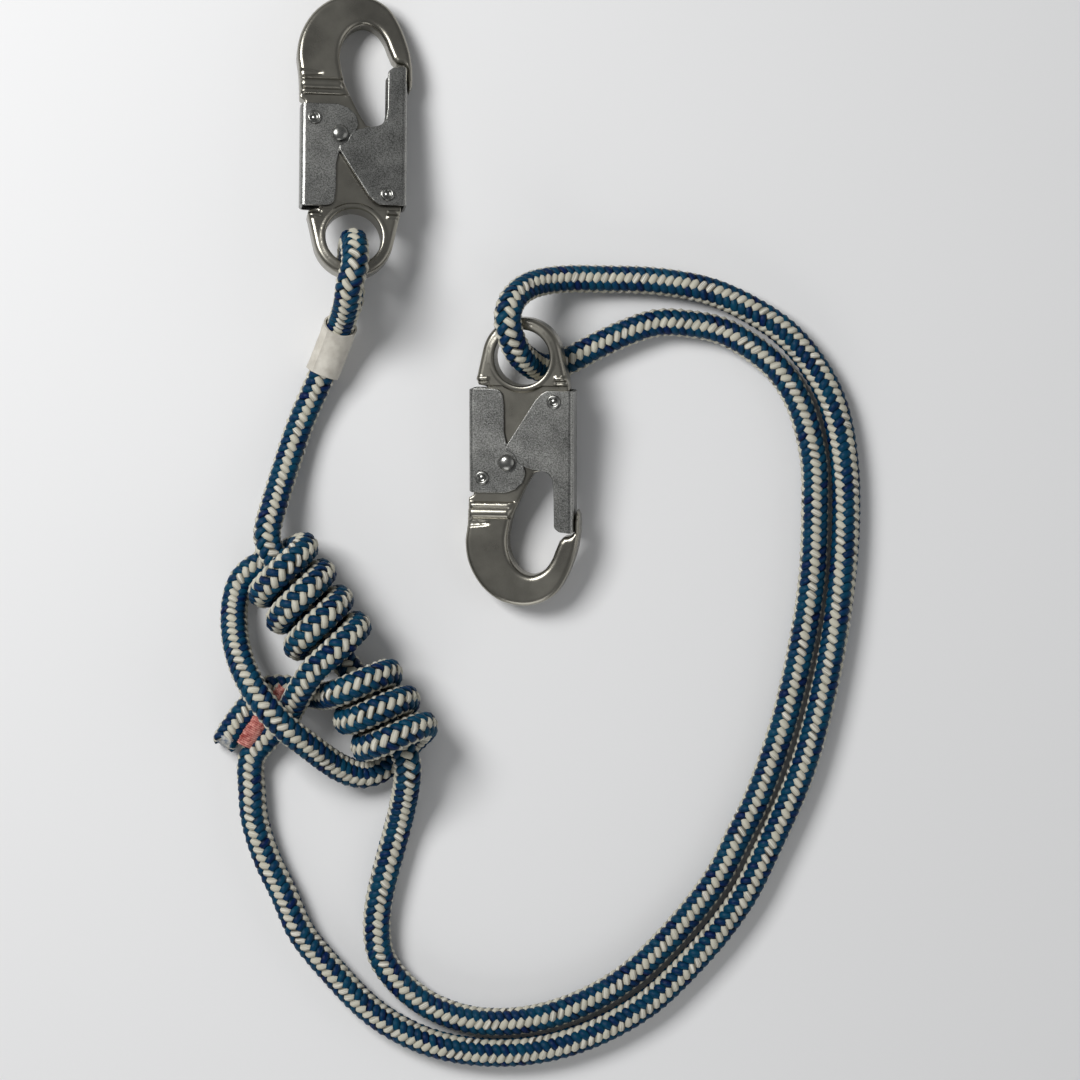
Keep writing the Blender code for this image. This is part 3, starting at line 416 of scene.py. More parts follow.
@dataclass(frozen=True)
class YarnFinish:
    """The finish of one colour of the rope's strands."""

    name: str
    deep: Triple
    fair: Triple
    hue: Triple
    roughness: float
    sheen: float
    # painted shade: how much darker the strand is painted towards its edges, in the crevices between strands
    rim: float
    # painted shade: how much darker the strand is painted where it dives under the crossing strands
    dive_shade: float
    filament_scale: Pair = (300.0, 5.5)
    patch_scale: Pair = (55.0, 0.8)
    lane_step: float = 37.0
    edge_shade_power: float = 2.4
    contrast: Pair = (1.5, -0.25)
    dive_shade_from: float = 0.65
    stops: Pair = (0.08, 0.62)
    tone_share: float = 0.35
    hue_gain: Pair = (2.4, -1.15)
    sheen_roughness: float = 0.4
    specular: float = 0.12
    bump: Pair = (0.9, 0.16 * MM)

    def material(self) -> Material:
        """Make the strand's material: fine filaments, a tone of its own, painted shade at its edges and painted shade
        where it dives under the crossing strands.
        """
        material, nodes, shader = new_material(self.name)
        along, across, tone, crest = (
            nodes.add("ShaderNodeAttribute", {"attribute_name": name}).outputs["Fac"]
            for name in ("along", "across", "tone", "crest"))
        lane = nodes.math("MULTIPLY", tone, self.lane_step)
        noises = []
        for (length, width), detail, roughness in ((self.filament_scale, 3.0, 0.6), (self.patch_scale, 2.0, 0.5)):
            place = nodes.joined(nodes.math("MULTIPLY", along, length), nodes.math("MULTIPLY", across, width), lane)
            noises.append(nodes.noise(place, 1.0, detail, roughness))
        filament, patch = noises
        # painted shade in the crevices: the colour darkens towards the strand's two edges
        edge = nodes.math("POWER", nodes.math("ABSOLUTE", across), self.edge_shade_power)
        light = nodes.math("MULTIPLY_ADD", filament, *self.contrast)
        light = nodes.math("SUBTRACT", light, nodes.math("MULTIPLY", edge, self.rim))
        # painted shade where the strand dives under the crossing strands, deeper the lower its crest
        painted_dive_shade = nodes.math("MAXIMUM", nodes.math("MULTIPLY_ADD", crest, -self.dive_shade, self.dive_shade_from * self.dive_shade), 0.0)
        light = nodes.math("SUBTRACT", light, painted_dive_shade)
        # the ramp's deep colour is where the painted shade and the darkest filaments take it
        body = nodes.ramp(light, zip(self.stops, (self.deep, self.fair)))
        share = nodes.math("MULTIPLY_ADD", nodes.math("MULTIPLY_ADD", tone, self.tone_share, patch), *self.hue_gain)
        limited = nodes.add("ShaderNodeClamp", Value=share)
        for name, value in (("Base Color", nodes.blended(limited, body, self.hue)), ("Roughness", self.roughness),
                            ("Sheen Weight", self.sheen), ("Sheen Roughness", self.sheen_roughness),
                            ("Specular IOR Level", self.specular)):
            nodes.put(shader, name, value)
        nodes.bumped(shader, filament, *self.bump)
        return material


@dataclass(frozen=True)
class PlainFinish:
    """A finish with a mottled colour and a fine grain."""

    name: str
    deep: Triple
    fair: Triple
    roughness: Pair
    patch_scale: float
    grain_scale: float
    grain: float
    metallic: float = 0.0
    sparkle: float = 0.0
    stops: Pair = (0.35, 0.65)
    spread: Pair = (0.3, 0.7)
    grain_depth: float = 0.1 * MM

    def material(self) -> Material:
        """Make the material."""
        material, nodes, shader = new_material(self.name)
        place = nodes.add("ShaderNodeTexCoord").outputs["Object"]
        patch = nodes.noise(place, self.patch_scale, detail=4.0, roughness=0.6)
        grain = nodes.noise(place, self.grain_scale, detail=2.0, roughness=0.7)
        mixed = nodes.math("MULTIPLY_ADD", grain, self.sparkle, nodes.math("MULTIPLY", patch, 1.0 - self.sparkle))
        (least, most), (low, high) = self.spread, self.roughness
        uneven = nodes.add("ShaderNodeMapRange", n0=patch, n1=least, n2=most, n3=low, n4=high)
        nodes.put(shader, "Base Color", nodes.ramp(mixed, zip(self.stops, (self.deep, self.fair))))
        nodes.put(shader, "Metallic", self.metallic)
        nodes.put(shader, "Roughness", uneven.outputs[0])
        nodes.bumped(shader, grain, self.grain, self.grain_depth)
        return material


# Each yarn's last two numbers set its painted shade: at the strands' edges and where they dive.
WHITE_YARN = YarnFinish(
    "white_yarn", (0.055, 0.05, 0.038), (0.80, 0.77, 0.68), (0.52, 0.50, 0.41),
    roughness=0.58, sheen=0.02, rim=0.85, dive_shade=0.85)
BLUE_YARN = YarnFinish(
    "blue_yarn", (0.0003, 0.0008, 0.005), (0.0013, 0.0155, 0.086), (0.002, 0.048, 0.092),
    roughness=0.42, sheen=0.0, rim=0.6, dive_shade=0.4)
# The core tube is painted near black: painted shade that shows in the gaps between the strands
CORE_SHADE = PlainFinish(
    "rope_core", (0.006, 0.009, 0.016), (0.015, 0.02, 0.03),
    roughness=(0.8, 0.95), patch_scale=700.0, grain_scale=3000.0, grain=0.4)
MELTED_YARN = PlainFinish(
    "melted_yarn", (0.05, 0.09, 0.16), (0.55, 0.53, 0.47),
    roughness=(0.4, 0.7), patch_scale=420.0, grain_scale=2600.0, grain=0.5)
LABEL_FINISH = PlainFinish(
    "label_film", (0.47, 0.44, 0.38), (0.62, 0.59, 0.52),
    roughness=(0.42, 0.6), patch_scale=160.0, grain_scale=2200.0, grain=0.25)
THREAD_FINISH = PlainFinish(
    "band_thread", (0.30, 0.05, 0.04), (0.80, 0.38, 0.32),
    roughness=(0.55, 0.75), patch_scale=420.0, grain_scale=2600.0, grain=0.5)
# The snaps' finishes by slot
HARDWARE: dict[Slot, PlainFinish] = {
    Slot.FORGED: PlainFinish(
        "forged_steel", (0.27, 0.256, 0.22), (0.35, 0.335, 0.288),
        roughness=(0.24, 0.34), patch_scale=40.0, grain_scale=2400.0, grain=0.22, metallic=1.0, sparkle=0.35),
    Slot.SHEET: PlainFinish(
        "sheet_steel", (0.12, 0.12, 0.113), (0.48, 0.48, 0.456),
        roughness=(0.28, 0.40), patch_scale=60.0, grain_scale=1900.0, grain=0.85, metallic=1.0, sparkle=0.85),
    Slot.RIVET: PlainFinish(
        "rivet_steel", (0.24, 0.24, 0.225), (0.34, 0.34, 0.32),
        roughness=(0.22, 0.34), patch_scale=260.0, grain_scale=3000.0, grain=0.2, metallic=1.0, sparkle=0.3),
    Slot.SPRING: PlainFinish(
        "spring_wire", (0.20, 0.185, 0.12), (0.36, 0.33, 0.20),
        roughness=(0.26, 0.4), patch_scale=400.0, grain_scale=3000.0, grain=0.2, metallic=1.0, sparkle=0.3)}


def linked(name: str, data: ID) -> Object:
    """A new object in the scene."""
    item = bpy.data.objects.new(name, data)
    bpy.context.scene.collection.objects.link(item)
    return item


def mesh_of(item: Object) -> Mesh:
    """The plain mesh of an object as its modifiers or curve settings leave it; the object is removed."""
    bpy.context.view_layer.update()
    graph = bpy.context.evaluated_depsgraph_get()
    mesh = bpy.data.meshes.new_from_object(item.evaluated_get(graph))
    bpy.data.objects.remove(item, do_unlink=True)
    return mesh


def guide_mesh(name: str, points: list[Vector], **carried: list[Vector] | list[float]) -> Mesh:
    """A line of points as a mesh that carries numbers or directions by name."""
    mesh = bpy.data.meshes.new(name)
    mesh.from_pydata(points, [(i, i + 1) for i in range(len(points) - 1)], [])
    for word, values in carried.items():
        if isinstance(values[0], Vector):
            directions = mesh.attributes.new(word, "FLOAT_VECTOR", "POINT")
            directions.data.foreach_set("vector", [number for value in values for number in value])
        else:
            mesh.attributes.new(word, "FLOAT", "POINT").data.foreach_set("value", values)
    return mesh


def realised(guide: Mesh, tree: NodeTree, values: dict[str, object], name: str) -> Mesh:
    """What a Geometry Nodes tree makes from a guide, as a plain mesh.

    Args:
        guide: the mesh that the tree works on.
        tree: the tree.
        values: the tree's inputs by name.
        name: the new mesh's name.

    Returns:
        The new mesh.
    """
    item = linked("guide", guide)
    modifier = item.modifiers.new("tree", "NODES")
    modifier.node_group = tree
    for socket in tree.interface.items_tree:
        if socket.item_type == "SOCKET" and socket.in_out == "INPUT" and socket.name in values:
            modifier[socket.identifier] = values[socket.name]
    mesh = mesh_of(item)
    mesh.name = name
    return mesh


def finished(work: bmesh.types.BMesh, name: str) -> Mesh:
    """The mesh of closed work, with its faces turned outwards."""
    bmesh.ops.recalc_face_normals(work, faces=work.faces)
    mesh = bpy.data.meshes.new(name)
    work.to_mesh(mesh)
    work.free()
    return mesh


def lofted(name: str, sections: list[list[Vector]], ring: bool = False) -> Mesh:
    """A closed mesh through unlike sections of as many points each.

    Args:
        name: the mesh's name.
        sections: the sections' points, in order.
        ring: whether the last section meets the first, in place of two flat ends.

    Returns:
        The mesh.
    """
    work = bmesh.new()
    rows = [[work.verts.new(point) for point in section] for section in sections]
    for low, high in zip(rows, [*rows[1:], rows[0]] if ring else rows[1:]):
        for index in range(len(low)):
            after = (index + 1) % len(low)
            work.faces.new((low[index], low[after], high[after], high[index]))
    if not ring:
        work.faces.new(rows[0][::-1])
        work.faces.new(rows[-1])
    return finished(work, name)


def dressed(mesh: Mesh, material: Material, sharp: float | None = None) -> Mesh:
    """Give a mesh smooth faces, one material, and sharp edges where they turn by more than so many degrees."""
    mesh.shade_smooth()
    if sharp is not None:
        mesh.set_sharp_from_angle(angle=math.radians(sharp))
    mesh.materials.clear()
    mesh.materials.append(material)
    return mesh


def shown(name: str, mesh: Mesh, body: str, node: str | None) -> Object:
    """Show a piece.

    Args:
        name: the piece's name.
        mesh: its mesh.
        body: the body that it rides on.
        node: the CAD node that it replaces, if it replaces one.

    Returns:
        The piece.
    """
    item = linked(name, mesh)
    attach(item, body)
    if node is not None:
        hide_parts(node)
    LOG.info("%s: %d faces", name, len(mesh.polygons))
    return item


@dataclass
class SnapPlace:
    """Where a snap lies: the centre of its eye, its pitch and roll, and which face is up."""

    name: str
    eye: Triple
    pitch: float
    roll: float
    face: int
    reach: float = 109.2 * MM
    half_width: float = 25.5 * MM
    gate_rivet: Pair = (0.1731, 0.5647)

    def matrix(self) -> Matrix:
        """The turn and place of the snap's own frame: along it, to its gate side and through it."""
        facing = Matrix(((0, 1, 0), (-self.face, 0, 0), (0, 0, self.face)))
        pitched = facing @ Matrix.Rotation(self.face * math.radians(self.pitch), 3, "Y")
        turned = pitched @ Matrix.Rotation(self.face * math.radians(self.roll), 3, "X")
        return Matrix.Translation(Vector(self.eye) * MM) @ turned.to_4x4()

    def row_shift(self) -> Vector:
        """How far the row frame lies from the frame that the routes are given in."""
        low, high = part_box(f"{self.name}_gate_rivet")
        along, across = self.gate_rivet
        place = self.matrix() @ Vector((along * self.reach, across * self.half_width, 0.0))
        return (low + high) / 2 - place


SNAP_1 = SnapPlace("snap_1", (-37.4, 26.0, 22.65), 8.5, -8.0, -1)
SNAP_2 = SnapPlace("snap_2", (37.1, -25.4, 20.11), 6.8, 9.0, 1)


@dataclass
class Stretch:
    """One stretch of the rope, with its own piece."""

    name: str
    points: list[Vector]
    start: float = 0.0
    normals: list[Vector] = field(default_factory=list)
    tangents: list[Vector] = field(default_factory=list)

    def length(self) -> float:
        """The stretch's length."""
        return run_lengths(self.points)[-1]

    def mesh(self) -> Mesh:
        """The stretch's line as a mesh that carries its directions."""
        along = [self.start + each for each in run_lengths(self.points)]
        beside = [tangent.cross(normal) for tangent, normal in zip(self.tangents, self.normals)]
        return guide_mesh(self.name, self.points, along=along, facing=self.normals, beside=beside)


@dataclass
class Rope:
    """The braided rope: eight white strands one way and eight blue ones the other, over a core tube painted near black
    as the shade that shows between the strands.
    """

    shift: Vector
    diameter: float = 13.0 * MM
    sample: float = 1.0 * MM
    easings: int = 9
    strands: int = 8
    lead_of_strand: float = 29.0 * MM
    mean_radius: float = 4.53 * MM
    wave: float = 0.93 * MM
    strand_width: float = 1.68 * MM
    strand_height: float = 0.92 * MM
    strand_sides: int = 6
    white_sink: float = 0.28 * MM
    white_width: float = 1.52 * MM
    white_height: float = 1.0 * MM
    seeds: tuple[int, int] = (3, 11)
    swerve: float = 0.15
    swelling: Pair = (0.25, 0.94)
    core_radius: float = 4.0 * MM
    core_sides: int = 8
    hitch_centre: Pair = (-44.0 * MM, -154.2 * MM)
    hitch_angle: float = math.radians(-56.3)
    hitch_height: float = 20.2 * MM
    host_places: tuple[float, ...] = (-54.0, -36.0, -18.0, 0.0, 17.0, 34.0, 50.0)
    wrap_radius: float = 13.5 * MM
    wrap_pitch: float = 13.85 * MM
    wrap_step: float = 3.75
    wrap_far: int = 4
    upper_front: float = -1.3 * MM
    upper_turns: Pair = (105.0, -1170.0)
    lower_front: float = 16.5 * MM
    lower_turns: Pair = (-90.0, 855.0)
    rim: float = 14.95 * MM
    bight_radius: float = 13.43 * MM
    winding_length: float = 0.851
    wrap_gap: float = 7.0 * MM
    wrap_margin: int = 20
    front_width: float = 1.0 * MM
    bridge_side: float = -24.0 * MM
    bridge_height: float = 25.0 * MM
    upper_lean: float = 22.5
    lower_lean: float = 4.0
    station_gap: float = 28.0 * MM
    steepest: float = 0.5
    least_turn: float = 1e-18

    def hitch_axes(self) -> tuple[Vector, Vector]:
        """The directions along the hitch and across it."""
        axis = Vector((math.cos(self.hitch_angle), math.sin(self.hitch_angle), 0.0))
        return axis, Vector((-axis.y, axis.x, 0.0))

    def hitch_point(self, across: float, along: float, height: float) -> Vector:
        """A point given by its distances across and along the hitch's axis and its height."""
        axis, side = self.hitch_axes()
        return Vector((*self.hitch_centre, 0.0)) + axis * along + side * across + Vector((0.0, 0.0, height))

    def hitch_route(self, route: Route) -> list[Vector]:
        """A route given in millimetres across the hitch's axis, along it and above the ground, in metres."""
        return [self.hitch_point(*place) for place in in_metres(route)]

    def hitch_place(self, point: Vector) -> Pair:
        """A point's distances across and along the hitch's axis."""
        axis, side = self.hitch_axes()
        from_centre = point - self.shift - Vector((*self.hitch_centre, 0.0))
        return from_centre.dot(side), from_centre.dot(axis)

    def wraps(self, front_place: float, first: float, last: float, hand: int) -> list[Vector]:
        """The points of a run of wraps.

        Args:
            front_place: where along the hitch the strand crosses the front at 90 degrees.
            first: the first angle round the hitch, in degrees.
            last: the last angle.
            hand: which way the wraps climb.

        Returns:
            Fine points of the run.
        """
        count = round(abs(last - first) / self.wrap_step)
        points: list[Vector] = []
        for index in range(count + 1):
            angle = first + (last - first) * index / count
            along = front_place + hand * (angle - 90.0) / 360.0 * self.wrap_pitch
            turn = math.radians(angle)
            height = self.hitch_height + self.wrap_radius * math.sin(turn)
            points.append(self.hitch_point(self.wrap_radius * math.cos(turn), along, height))
        return points

    def bight(self) -> list[Vector]:
        """The rope's way round the first snap's eye: over the rim, through the hole and under it."""
        matrix = SNAP_1.matrix()
        points = []
        for degrees in range(90, -91, -30):
            angle = math.radians(degrees)
            inward = self.bight_radius * math.cos(angle) - self.rim
            points.append(matrix @ Vector((inward, 0.0, SNAP_1.face * self.bight_radius * math.sin(angle))))
        return points

    def stretches(self) -> list[Stretch]:
        """The rope's stretches in order, on one smooth line."""
        front, back = in_metres(SPLICE_FRONT), in_metres(SPLICE_BACK)
        end = Vector(SPLICE_END) * MM
        host = [self.hitch_point(0.0, place * MM, self.hitch_height) for place in self.host_places]
        lead = [end, *in_metres(LEAD), *host, *in_metres(EXIT)]
        inner = [lead[-1], *in_metres(INNER)]
        turn, outer = in_metres(TURN), in_metres(OUTER)
        leg_in, leg_out = self.hitch_route(LEG_IN), self.hitch_route(LEG_OUT)
        inner.append(turn[0])
        turn.append(outer[0])
        outer.append(leg_in[0])
        upper = self.wraps(self.upper_front, *self.upper_turns, 1)
        lower = self.wraps(self.lower_front + 2 * self.wrap_pitch, *self.lower_turns, -1)
        far = self.wrap_far
        into = smooth_line([*leg_in, upper[0]], SHORT_SPAN, outer[-2], upper[far])
        bridge = smooth_line([upper[-1], *in_metres(BRIDGE), lower[0]], SPAN, upper[-1 - far], lower[far])
        out = smooth_line([lower[-1], *leg_out], SHORT_SPAN, lower[-1 - far])
        winding = into[:-1] + upper[:-1] + bridge[:-1] + lower[:-1] + out
        splice = [*back[::-1], *self.bight()[::-1], *front, end]
        made = [
            ("rope_eye_splice", smooth_line(splice, SPAN, None, lead[1])),
            ("rope_lead", smooth_line(lead, SPAN, front[-1], inner[1])),
            ("rope_inner_strand", smooth_line(inner, LONG_SPAN, lead[-2], turn[1])),
            ("rope_eye_turn", smooth_line(turn, SPAN, inner[-2], outer[1])),
            ("rope_outer_strand", smooth_line(outer, LONG_SPAN, turn[-2], leg_in[1])),
            ("hitch_winding", winding)]
        whole: list[Vector] = []
        ends = [0]
        for _, line in made:
            whole = whole[:-1] + [point + self.shift for point in evenly(line, self.sample)]
            ends.append(len(whole) - 1)
        for _ in range(self.easings):
            inside = [a * 0.25 + b * 0.5 + c * 0.25 for a, b, c in zip(whole, whole[1:], whole[2:])]
            whole = [whole[0], *inside, whole[-1]]
        total = run_lengths(whole)
        spans = zip(made, ends, ends[1:])
        return [Stretch(name, whole[first:last + 1], total[first]) for (name, _), first, last in spans]

    def lay(self) -> list[Stretch]:
        """Lay the rope's line: its stretches, and at every point the direction that its first white column faces."""
        stretches = self.stretches()
        points: list[Vector] = []
        for stretch in stretches:
            points += stretch.points[:-1]
        points.append(stretches[-1].points[-1])
        last = len(points) - 1
        tangents = [(points[min(i + 1, last)] - points[max(i - 1, 0)]).normalized() for i in range(len(points))]
        carried = self.carried(points, tangents)
        rolls = self.rolls(points, tangents, carried)
        cursor = 0
        for stretch in stretches:
            for place in range(cursor, cursor + len(stretch.points)):
                normal, tangent = carried[place], tangents[place]
                side = tangent.cross(normal)
                stretch.normals.append(normal * math.cos(rolls[place]) + side * math.sin(rolls[place]))
                stretch.tangents.append(tangent)
            cursor += len(stretch.points) - 1
        return stretches

    def carried(self, points: list[Vector], tangents: list[Vector]) -> list[Vector]:
        """A direction beside the rope that is carried along it without twist, by reflecting it twice at each step."""
        out = [tangents[0].orthogonal().normalized()]
        for (here, ahead), (tangent, next_tangent) in zip(zip(points, points[1:]), zip(tangents, tangents[1:])):
            chord = ahead - here
            size = chord.length_squared
            normal = out[-1] - chord * (2 / size * chord.dot(out[-1]))
            along = tangent - chord * (2 / size * chord.dot(tangent))
            change = next_tangent - along
            size = change.length_squared
            if size > self.least_turn:
                normal = normal - change * (2 / size * change.dot(normal))
            out.append(normal.normalized())
        return out

    def rolls(self, points: list[Vector], tangents: list[Vector], carried: list[Vector]) -> list[float]:
        """How far each carried direction is rolled, so that a column faces up at the rope's stations.

        Args:
            points: the rope's points.
            tangents: its directions.
            carried: the directions that are carried along it without twist.

        Returns:
            One angle for each point.
        """
        total = run_lengths(points)
        stations: list[Pair] = []
        tops = self.wrap_tops(points)
        next_free = 0.0
        for index, (point, tangent, normal) in enumerate(zip(points, tangents, carried)):
            in_wraps = tops[0] - self.wrap_margin <= index <= tops[-1] + self.wrap_margin
            bridging = self.on_bridge(point) and index > tops[0]
            if index in tops:
                lean = self.upper_lean if self.hitch_place(point)[1] < self.wrap_gap else self.lower_lean
            elif total[index] >= next_free and abs(tangent.z) < self.steepest and (not in_wraps or bridging):
                lean = float(np.interp(total[index], *zip(*LEANS)))
            else:
                continue
            next_free = total[index] + self.station_gap
            upward = (UP - tangent * tangent.z).normalized()
            roll = math.atan2(upward.dot(tangent.cross(normal)), upward.dot(normal)) + math.radians(lean)
            if stations:
                quarter = math.pi / 2
                roll += round((stations[-1][1] - roll) / quarter) * quarter
            stations.append((total[index], roll))
        return [float(roll) for roll in np.interp(total, *zip(*stations))]

    def on_bridge(self, point: Vector) -> bool:
        """Whether a point lies on the bridge, beside the wraps."""
        return self.hitch_place(point)[0] < self.bridge_side and point.z > self.bridge_height

    def wrap_tops(self, points: list[Vector]) -> list[int]:
        """The points at which the wraps cross the hitch's front."""
        tops: list[int] = []
        for index in range(len(points) - round(self.winding_length / self.sample), len(points) - 1):
            across = abs(self.hitch_place(points[index])[0])
            near = min(abs(self.hitch_place(points[i])[0]) for i in (index - 1, index + 1))
            if across <= near and across < self.front_width and points[index].z > self.hitch_height:
                if not tops or index - tops[-1] > self.wrap_margin:
                    tops.append(index)
        return tops

    def strand_tree(self) -> NodeTree:
        """The tree that lays one colour's strands round the rope's line."""
        nodes, given = new_tree("rope_strands", {
            "Line": "Geometry", "Hand": 1.0, "Phase": 0.0, "Wave Sign": 1.0, "Lead": self.lead_of_strand,
            "Mean Radius": self.mean_radius, "Wave": self.wave, "Width": self.strand_width,
            "Height": self.strand_height, "Swerve": self.swerve, "Strands": self.strands, "Seed": self.seeds[0],
            "Yarn": "Material"}, "Strands")
        curve = nodes.add("GeometryNodeMeshToCurve", Mesh=given["Line"])
        settings = {"domain": "SPLINE"}
        copies = nodes.add("GeometryNodeDuplicateElements", settings, Geometry=curve, Amount=given["Strands"])
        number = copies.outputs[1]
        along, normal, side = nodes.named("along", "FLOAT"), nodes.named("facing"), nodes.named("beside")
        turns = nodes.math("DIVIDE", along, given["Lead"])
        angle = nodes.math("MULTIPLY", nodes.math("MULTIPLY", turns, 2 * math.pi), given["Hand"])
        step = nodes.math("DIVIDE", 2 * math.pi, given["Strands"])
        angle = nodes.math("ADD", angle, nodes.math("MULTIPLY_ADD", number, step, given["Phase"]))
        dives = nodes.math("MULTIPLY", angle, self.strands / 2)
        wave = nodes.math("MULTIPLY", nodes.math("COSINE", dives), given["Wave Sign"])
        radius = nodes.math("MULTIPLY_ADD", wave, given["Wave"], given["Mean Radius"])
        swerve = nodes.math("MULTIPLY", nodes.math("SINE", dives), given["Wave Sign"])
        angle = nodes.math("MULTIPLY_ADD", swerve, given["Swerve"], angle)
        outward = nodes.summed(
            nodes.scaled(normal, nodes.math("COSINE", angle)), nodes.scaled(side, nodes.math("SINE", angle)))
        tone = nodes.random(Min=0.0, Max=1.0, ID=number, Seed=given["Seed"])
        marked = nodes.stored(nodes.stored(copies.outputs[0], "tone", tone), "crest", wave)
        turned = nodes.add("GeometryNodeSetCurveNormal", {"mode": "FREE"}, Curve=marked, Normal=outward)
        swelling = nodes.math("MULTIPLY_ADD", wave, *self.swelling)
        sized = nodes.add("GeometryNodeSetCurveRadius", Curve=turned, Radius=swelling)
        moved = nodes.changed("SetPosition", sized, Offset=nodes.scaled(outward, radius))
        place = nodes.add("ShaderNodeSeparateXYZ", n0=nodes.add("GeometryNodeInputPosition"))
        section = nodes.stored(nodes.ring(self.strand_sides, 1.0), "across", place.outputs[1])
        section = nodes.changed("Transform", section, Scale=nodes.joined(given["Height"], given["Width"], 1.0))
        tube = nodes.tube(moved, section, Scale=nodes.add("GeometryNodeInputRadius"))
        return nodes.end(nodes.changed("SetMaterial", nodes.changed("SetShadeSmooth", tube), Material=given["Yarn"]))

    def braid_tree(self) -> NodeTree:
        """The tree that makes the rope: both colours' strands and the core."""
        strands = {"node_tree": self.strand_tree()}
        nodes, given = new_tree("braided_rope", {
            "Line": "Geometry", "Core Radius": self.core_radius, "White Yarn": "Material", "Blue Yarn": "Material",
            "Core": "Material"}, "Rope")
        white, blue = self.seeds
        colours = (
            {"Hand": -1.0, "Phase": 0.0, "Wave_Sign": 1.0, "Seed": white, "Yarn": given["White Yarn"],
             "Mean_Radius": self.mean_radius - self.white_sink, "Width": self.white_width, "Height": self.white_height},
            {"Hand": 1.0, "Phase": math.pi / self.strands, "Wave_Sign": -1.0, "Seed": blue, "Yarn": given["Blue Yarn"]})
        curve = nodes.add("GeometryNodeMeshToCurve", Mesh=given["Line"])
        # a near-black core tube: painted shade behind the gaps between the strands
        core = nodes.tube(curve, nodes.ring(self.core_sides, given["Core Radius"]))
        join = nodes.add("GeometryNodeJoinGeometry")
        for colour in colours:
            nodes.put(join, "n0", nodes.add("GeometryNodeGroup", strands, Line=given["Line"], **colour))
        nodes.put(join, "n0", nodes.changed("SetMaterial", core, Material=given["Core"]))
        return nodes.end(nodes.changed("RealizeInstances", join))

    def build(self, stretches: list[Stretch], held: dict[str, tuple[Object, ...]]) -> None:
        """Make every stretch of the rope.

        Args:
            stretches: the rope's line.
            held: the pieces that a stretch holds, by its name; it is not used.
        """
        braid = self.braid_tree()
        yarns = {"White Yarn": WHITE_YARN.material(), "Blue Yarn": BLUE_YARN.material(), "Core": CORE_SHADE.material()}
        for stretch in stretches:
            name = f"{stretch.name}_braid"
            mesh = realised(stretch.mesh(), braid, yarns, name)
            for word in ("facing", "beside"):
                if word in mesh.attributes:
                    mesh.attributes.remove(mesh.attributes[word])
            piece = shown(name, mesh, ROPE_BODY, stretch.name)
            self.declare(stretch)
            LOG.info("%s: %.3f m", name, stretch.length())

    def declare(self, stretch: Stretch) -> None:
        """Work out the stretch's length, which is then dropped."""
        stretch.length()


def tidied(mesh: Mesh) -> Mesh:
    """Merge a closed mesh's doubles and turn its faces outwards."""
    work = bmesh.new()
    work.from_mesh(mesh)
    bmesh.ops.remove_doubles(work, verts=work.verts, dist=MERGE_GAP)
    bmesh.ops.recalc_face_normals(work, faces=work.faces)
    work.to_mesh(mesh)
    work.free()
    return mesh


def plate(outlines: list[Outline], half: float, edge: float = 0.0, rounds: int = 3) -> Mesh:
    """A flat plate with rounded edges.

    Args:
        outlines: the outer outline and any holes, in metres.
        half: half of the plate's thickness.
        edge: the radius of its edges.
        rounds: how finely the edges are rounded.

    Returns:
        The plate's closed mesh.
    """
    curve = bpy.data.curves.new("plate", "CURVE")
    curve.dimensions = "2D"
    curve.fill_mode = "BOTH"
    curve.extrude = half - edge
    curve.bevel_depth = edge
    curve.bevel_resolution = rounds
    curve.offset = -edge
    for outline in outlines:
        spline = curve.splines.new("POLY")
        spline.points.add(len(outline) - 1)
        for point, place in zip(spline.points, outline):
            point.co = (place[0], place[1], 0.0, 1.0)
        spline.use_cyclic_u = True
    return tidied(mesh_of(linked("plate", curve)))


def soft_box(low: Triple, high: Triple, edge: float, rounds: int = 3) -> Mesh:
    """A box with rounded edges."""
    work = bmesh.new()
    bmesh.ops.create_cube(work, size=1.0)
    bmesh.ops.scale(work, vec=Vector(high) - Vector(low), verts=work.verts)
    bmesh.ops.translate(work, vec=(Vector(high) + Vector(low)) / 2, verts=work.verts)
    bmesh.ops.bevel(work, geom=work.edges[:], offset=edge, segments=rounds, profile=0.5, affect="EDGES")
    return finished(work, "box")


def combined(mesh: Mesh, other: Mesh, way: str = "DIFFERENCE") -> Mesh:
    """Cut one closed mesh with another, or keep what they share."""
    body, tool = linked("body", mesh), linked("tool", other)
    modifier = body.modifiers.new("boolean", "BOOLEAN")
    modifier.operation = way
    modifier.solver = "EXACT"
    modifier.object = tool
    result = mesh_of(body)
    bpy.data.objects.remove(tool, do_unlink=True)
    return tidied(result)


def evened(mesh: Mesh) -> Mesh:
    """The mesh with normals that lean to its large faces, so that flat faces look flat."""
    item = linked("evened", mesh)
    modifier = item.modifiers.new("normals", "WEIGHTED_NORMAL")
    modifier.keep_sharp = True
    return mesh_of(item)


def turned(profile: Outline, steps: int = 40) -> Mesh:
    """A closed solid turned about Z from a profile of radii and heights that runs from pole to pole."""
    work = bmesh.new()
    line = [work.verts.new((radius, 0.0, height)) for radius, height in profile]
    edges = [work.edges.new(pair) for pair in zip(line, line[1:])]
    bmesh.ops.spin(work, geom=line + edges, axis=(0, 0, 1), cent=(0, 0, 0), angle=2 * math.pi, steps=steps)
    bmesh.ops.remove_doubles(work, verts=work.verts, dist=MERGE_GAP)
    return finished(work, "turned")


def step_up(value: np.ndarray, where: float, half_width: float) -> np.ndarray:
    """A smooth step from 0 to 1."""
    share = np.clip((value - where) / (2 * half_width) + 0.5, 0.0, 1.0)
    return share * share * (3 - 2 * share)


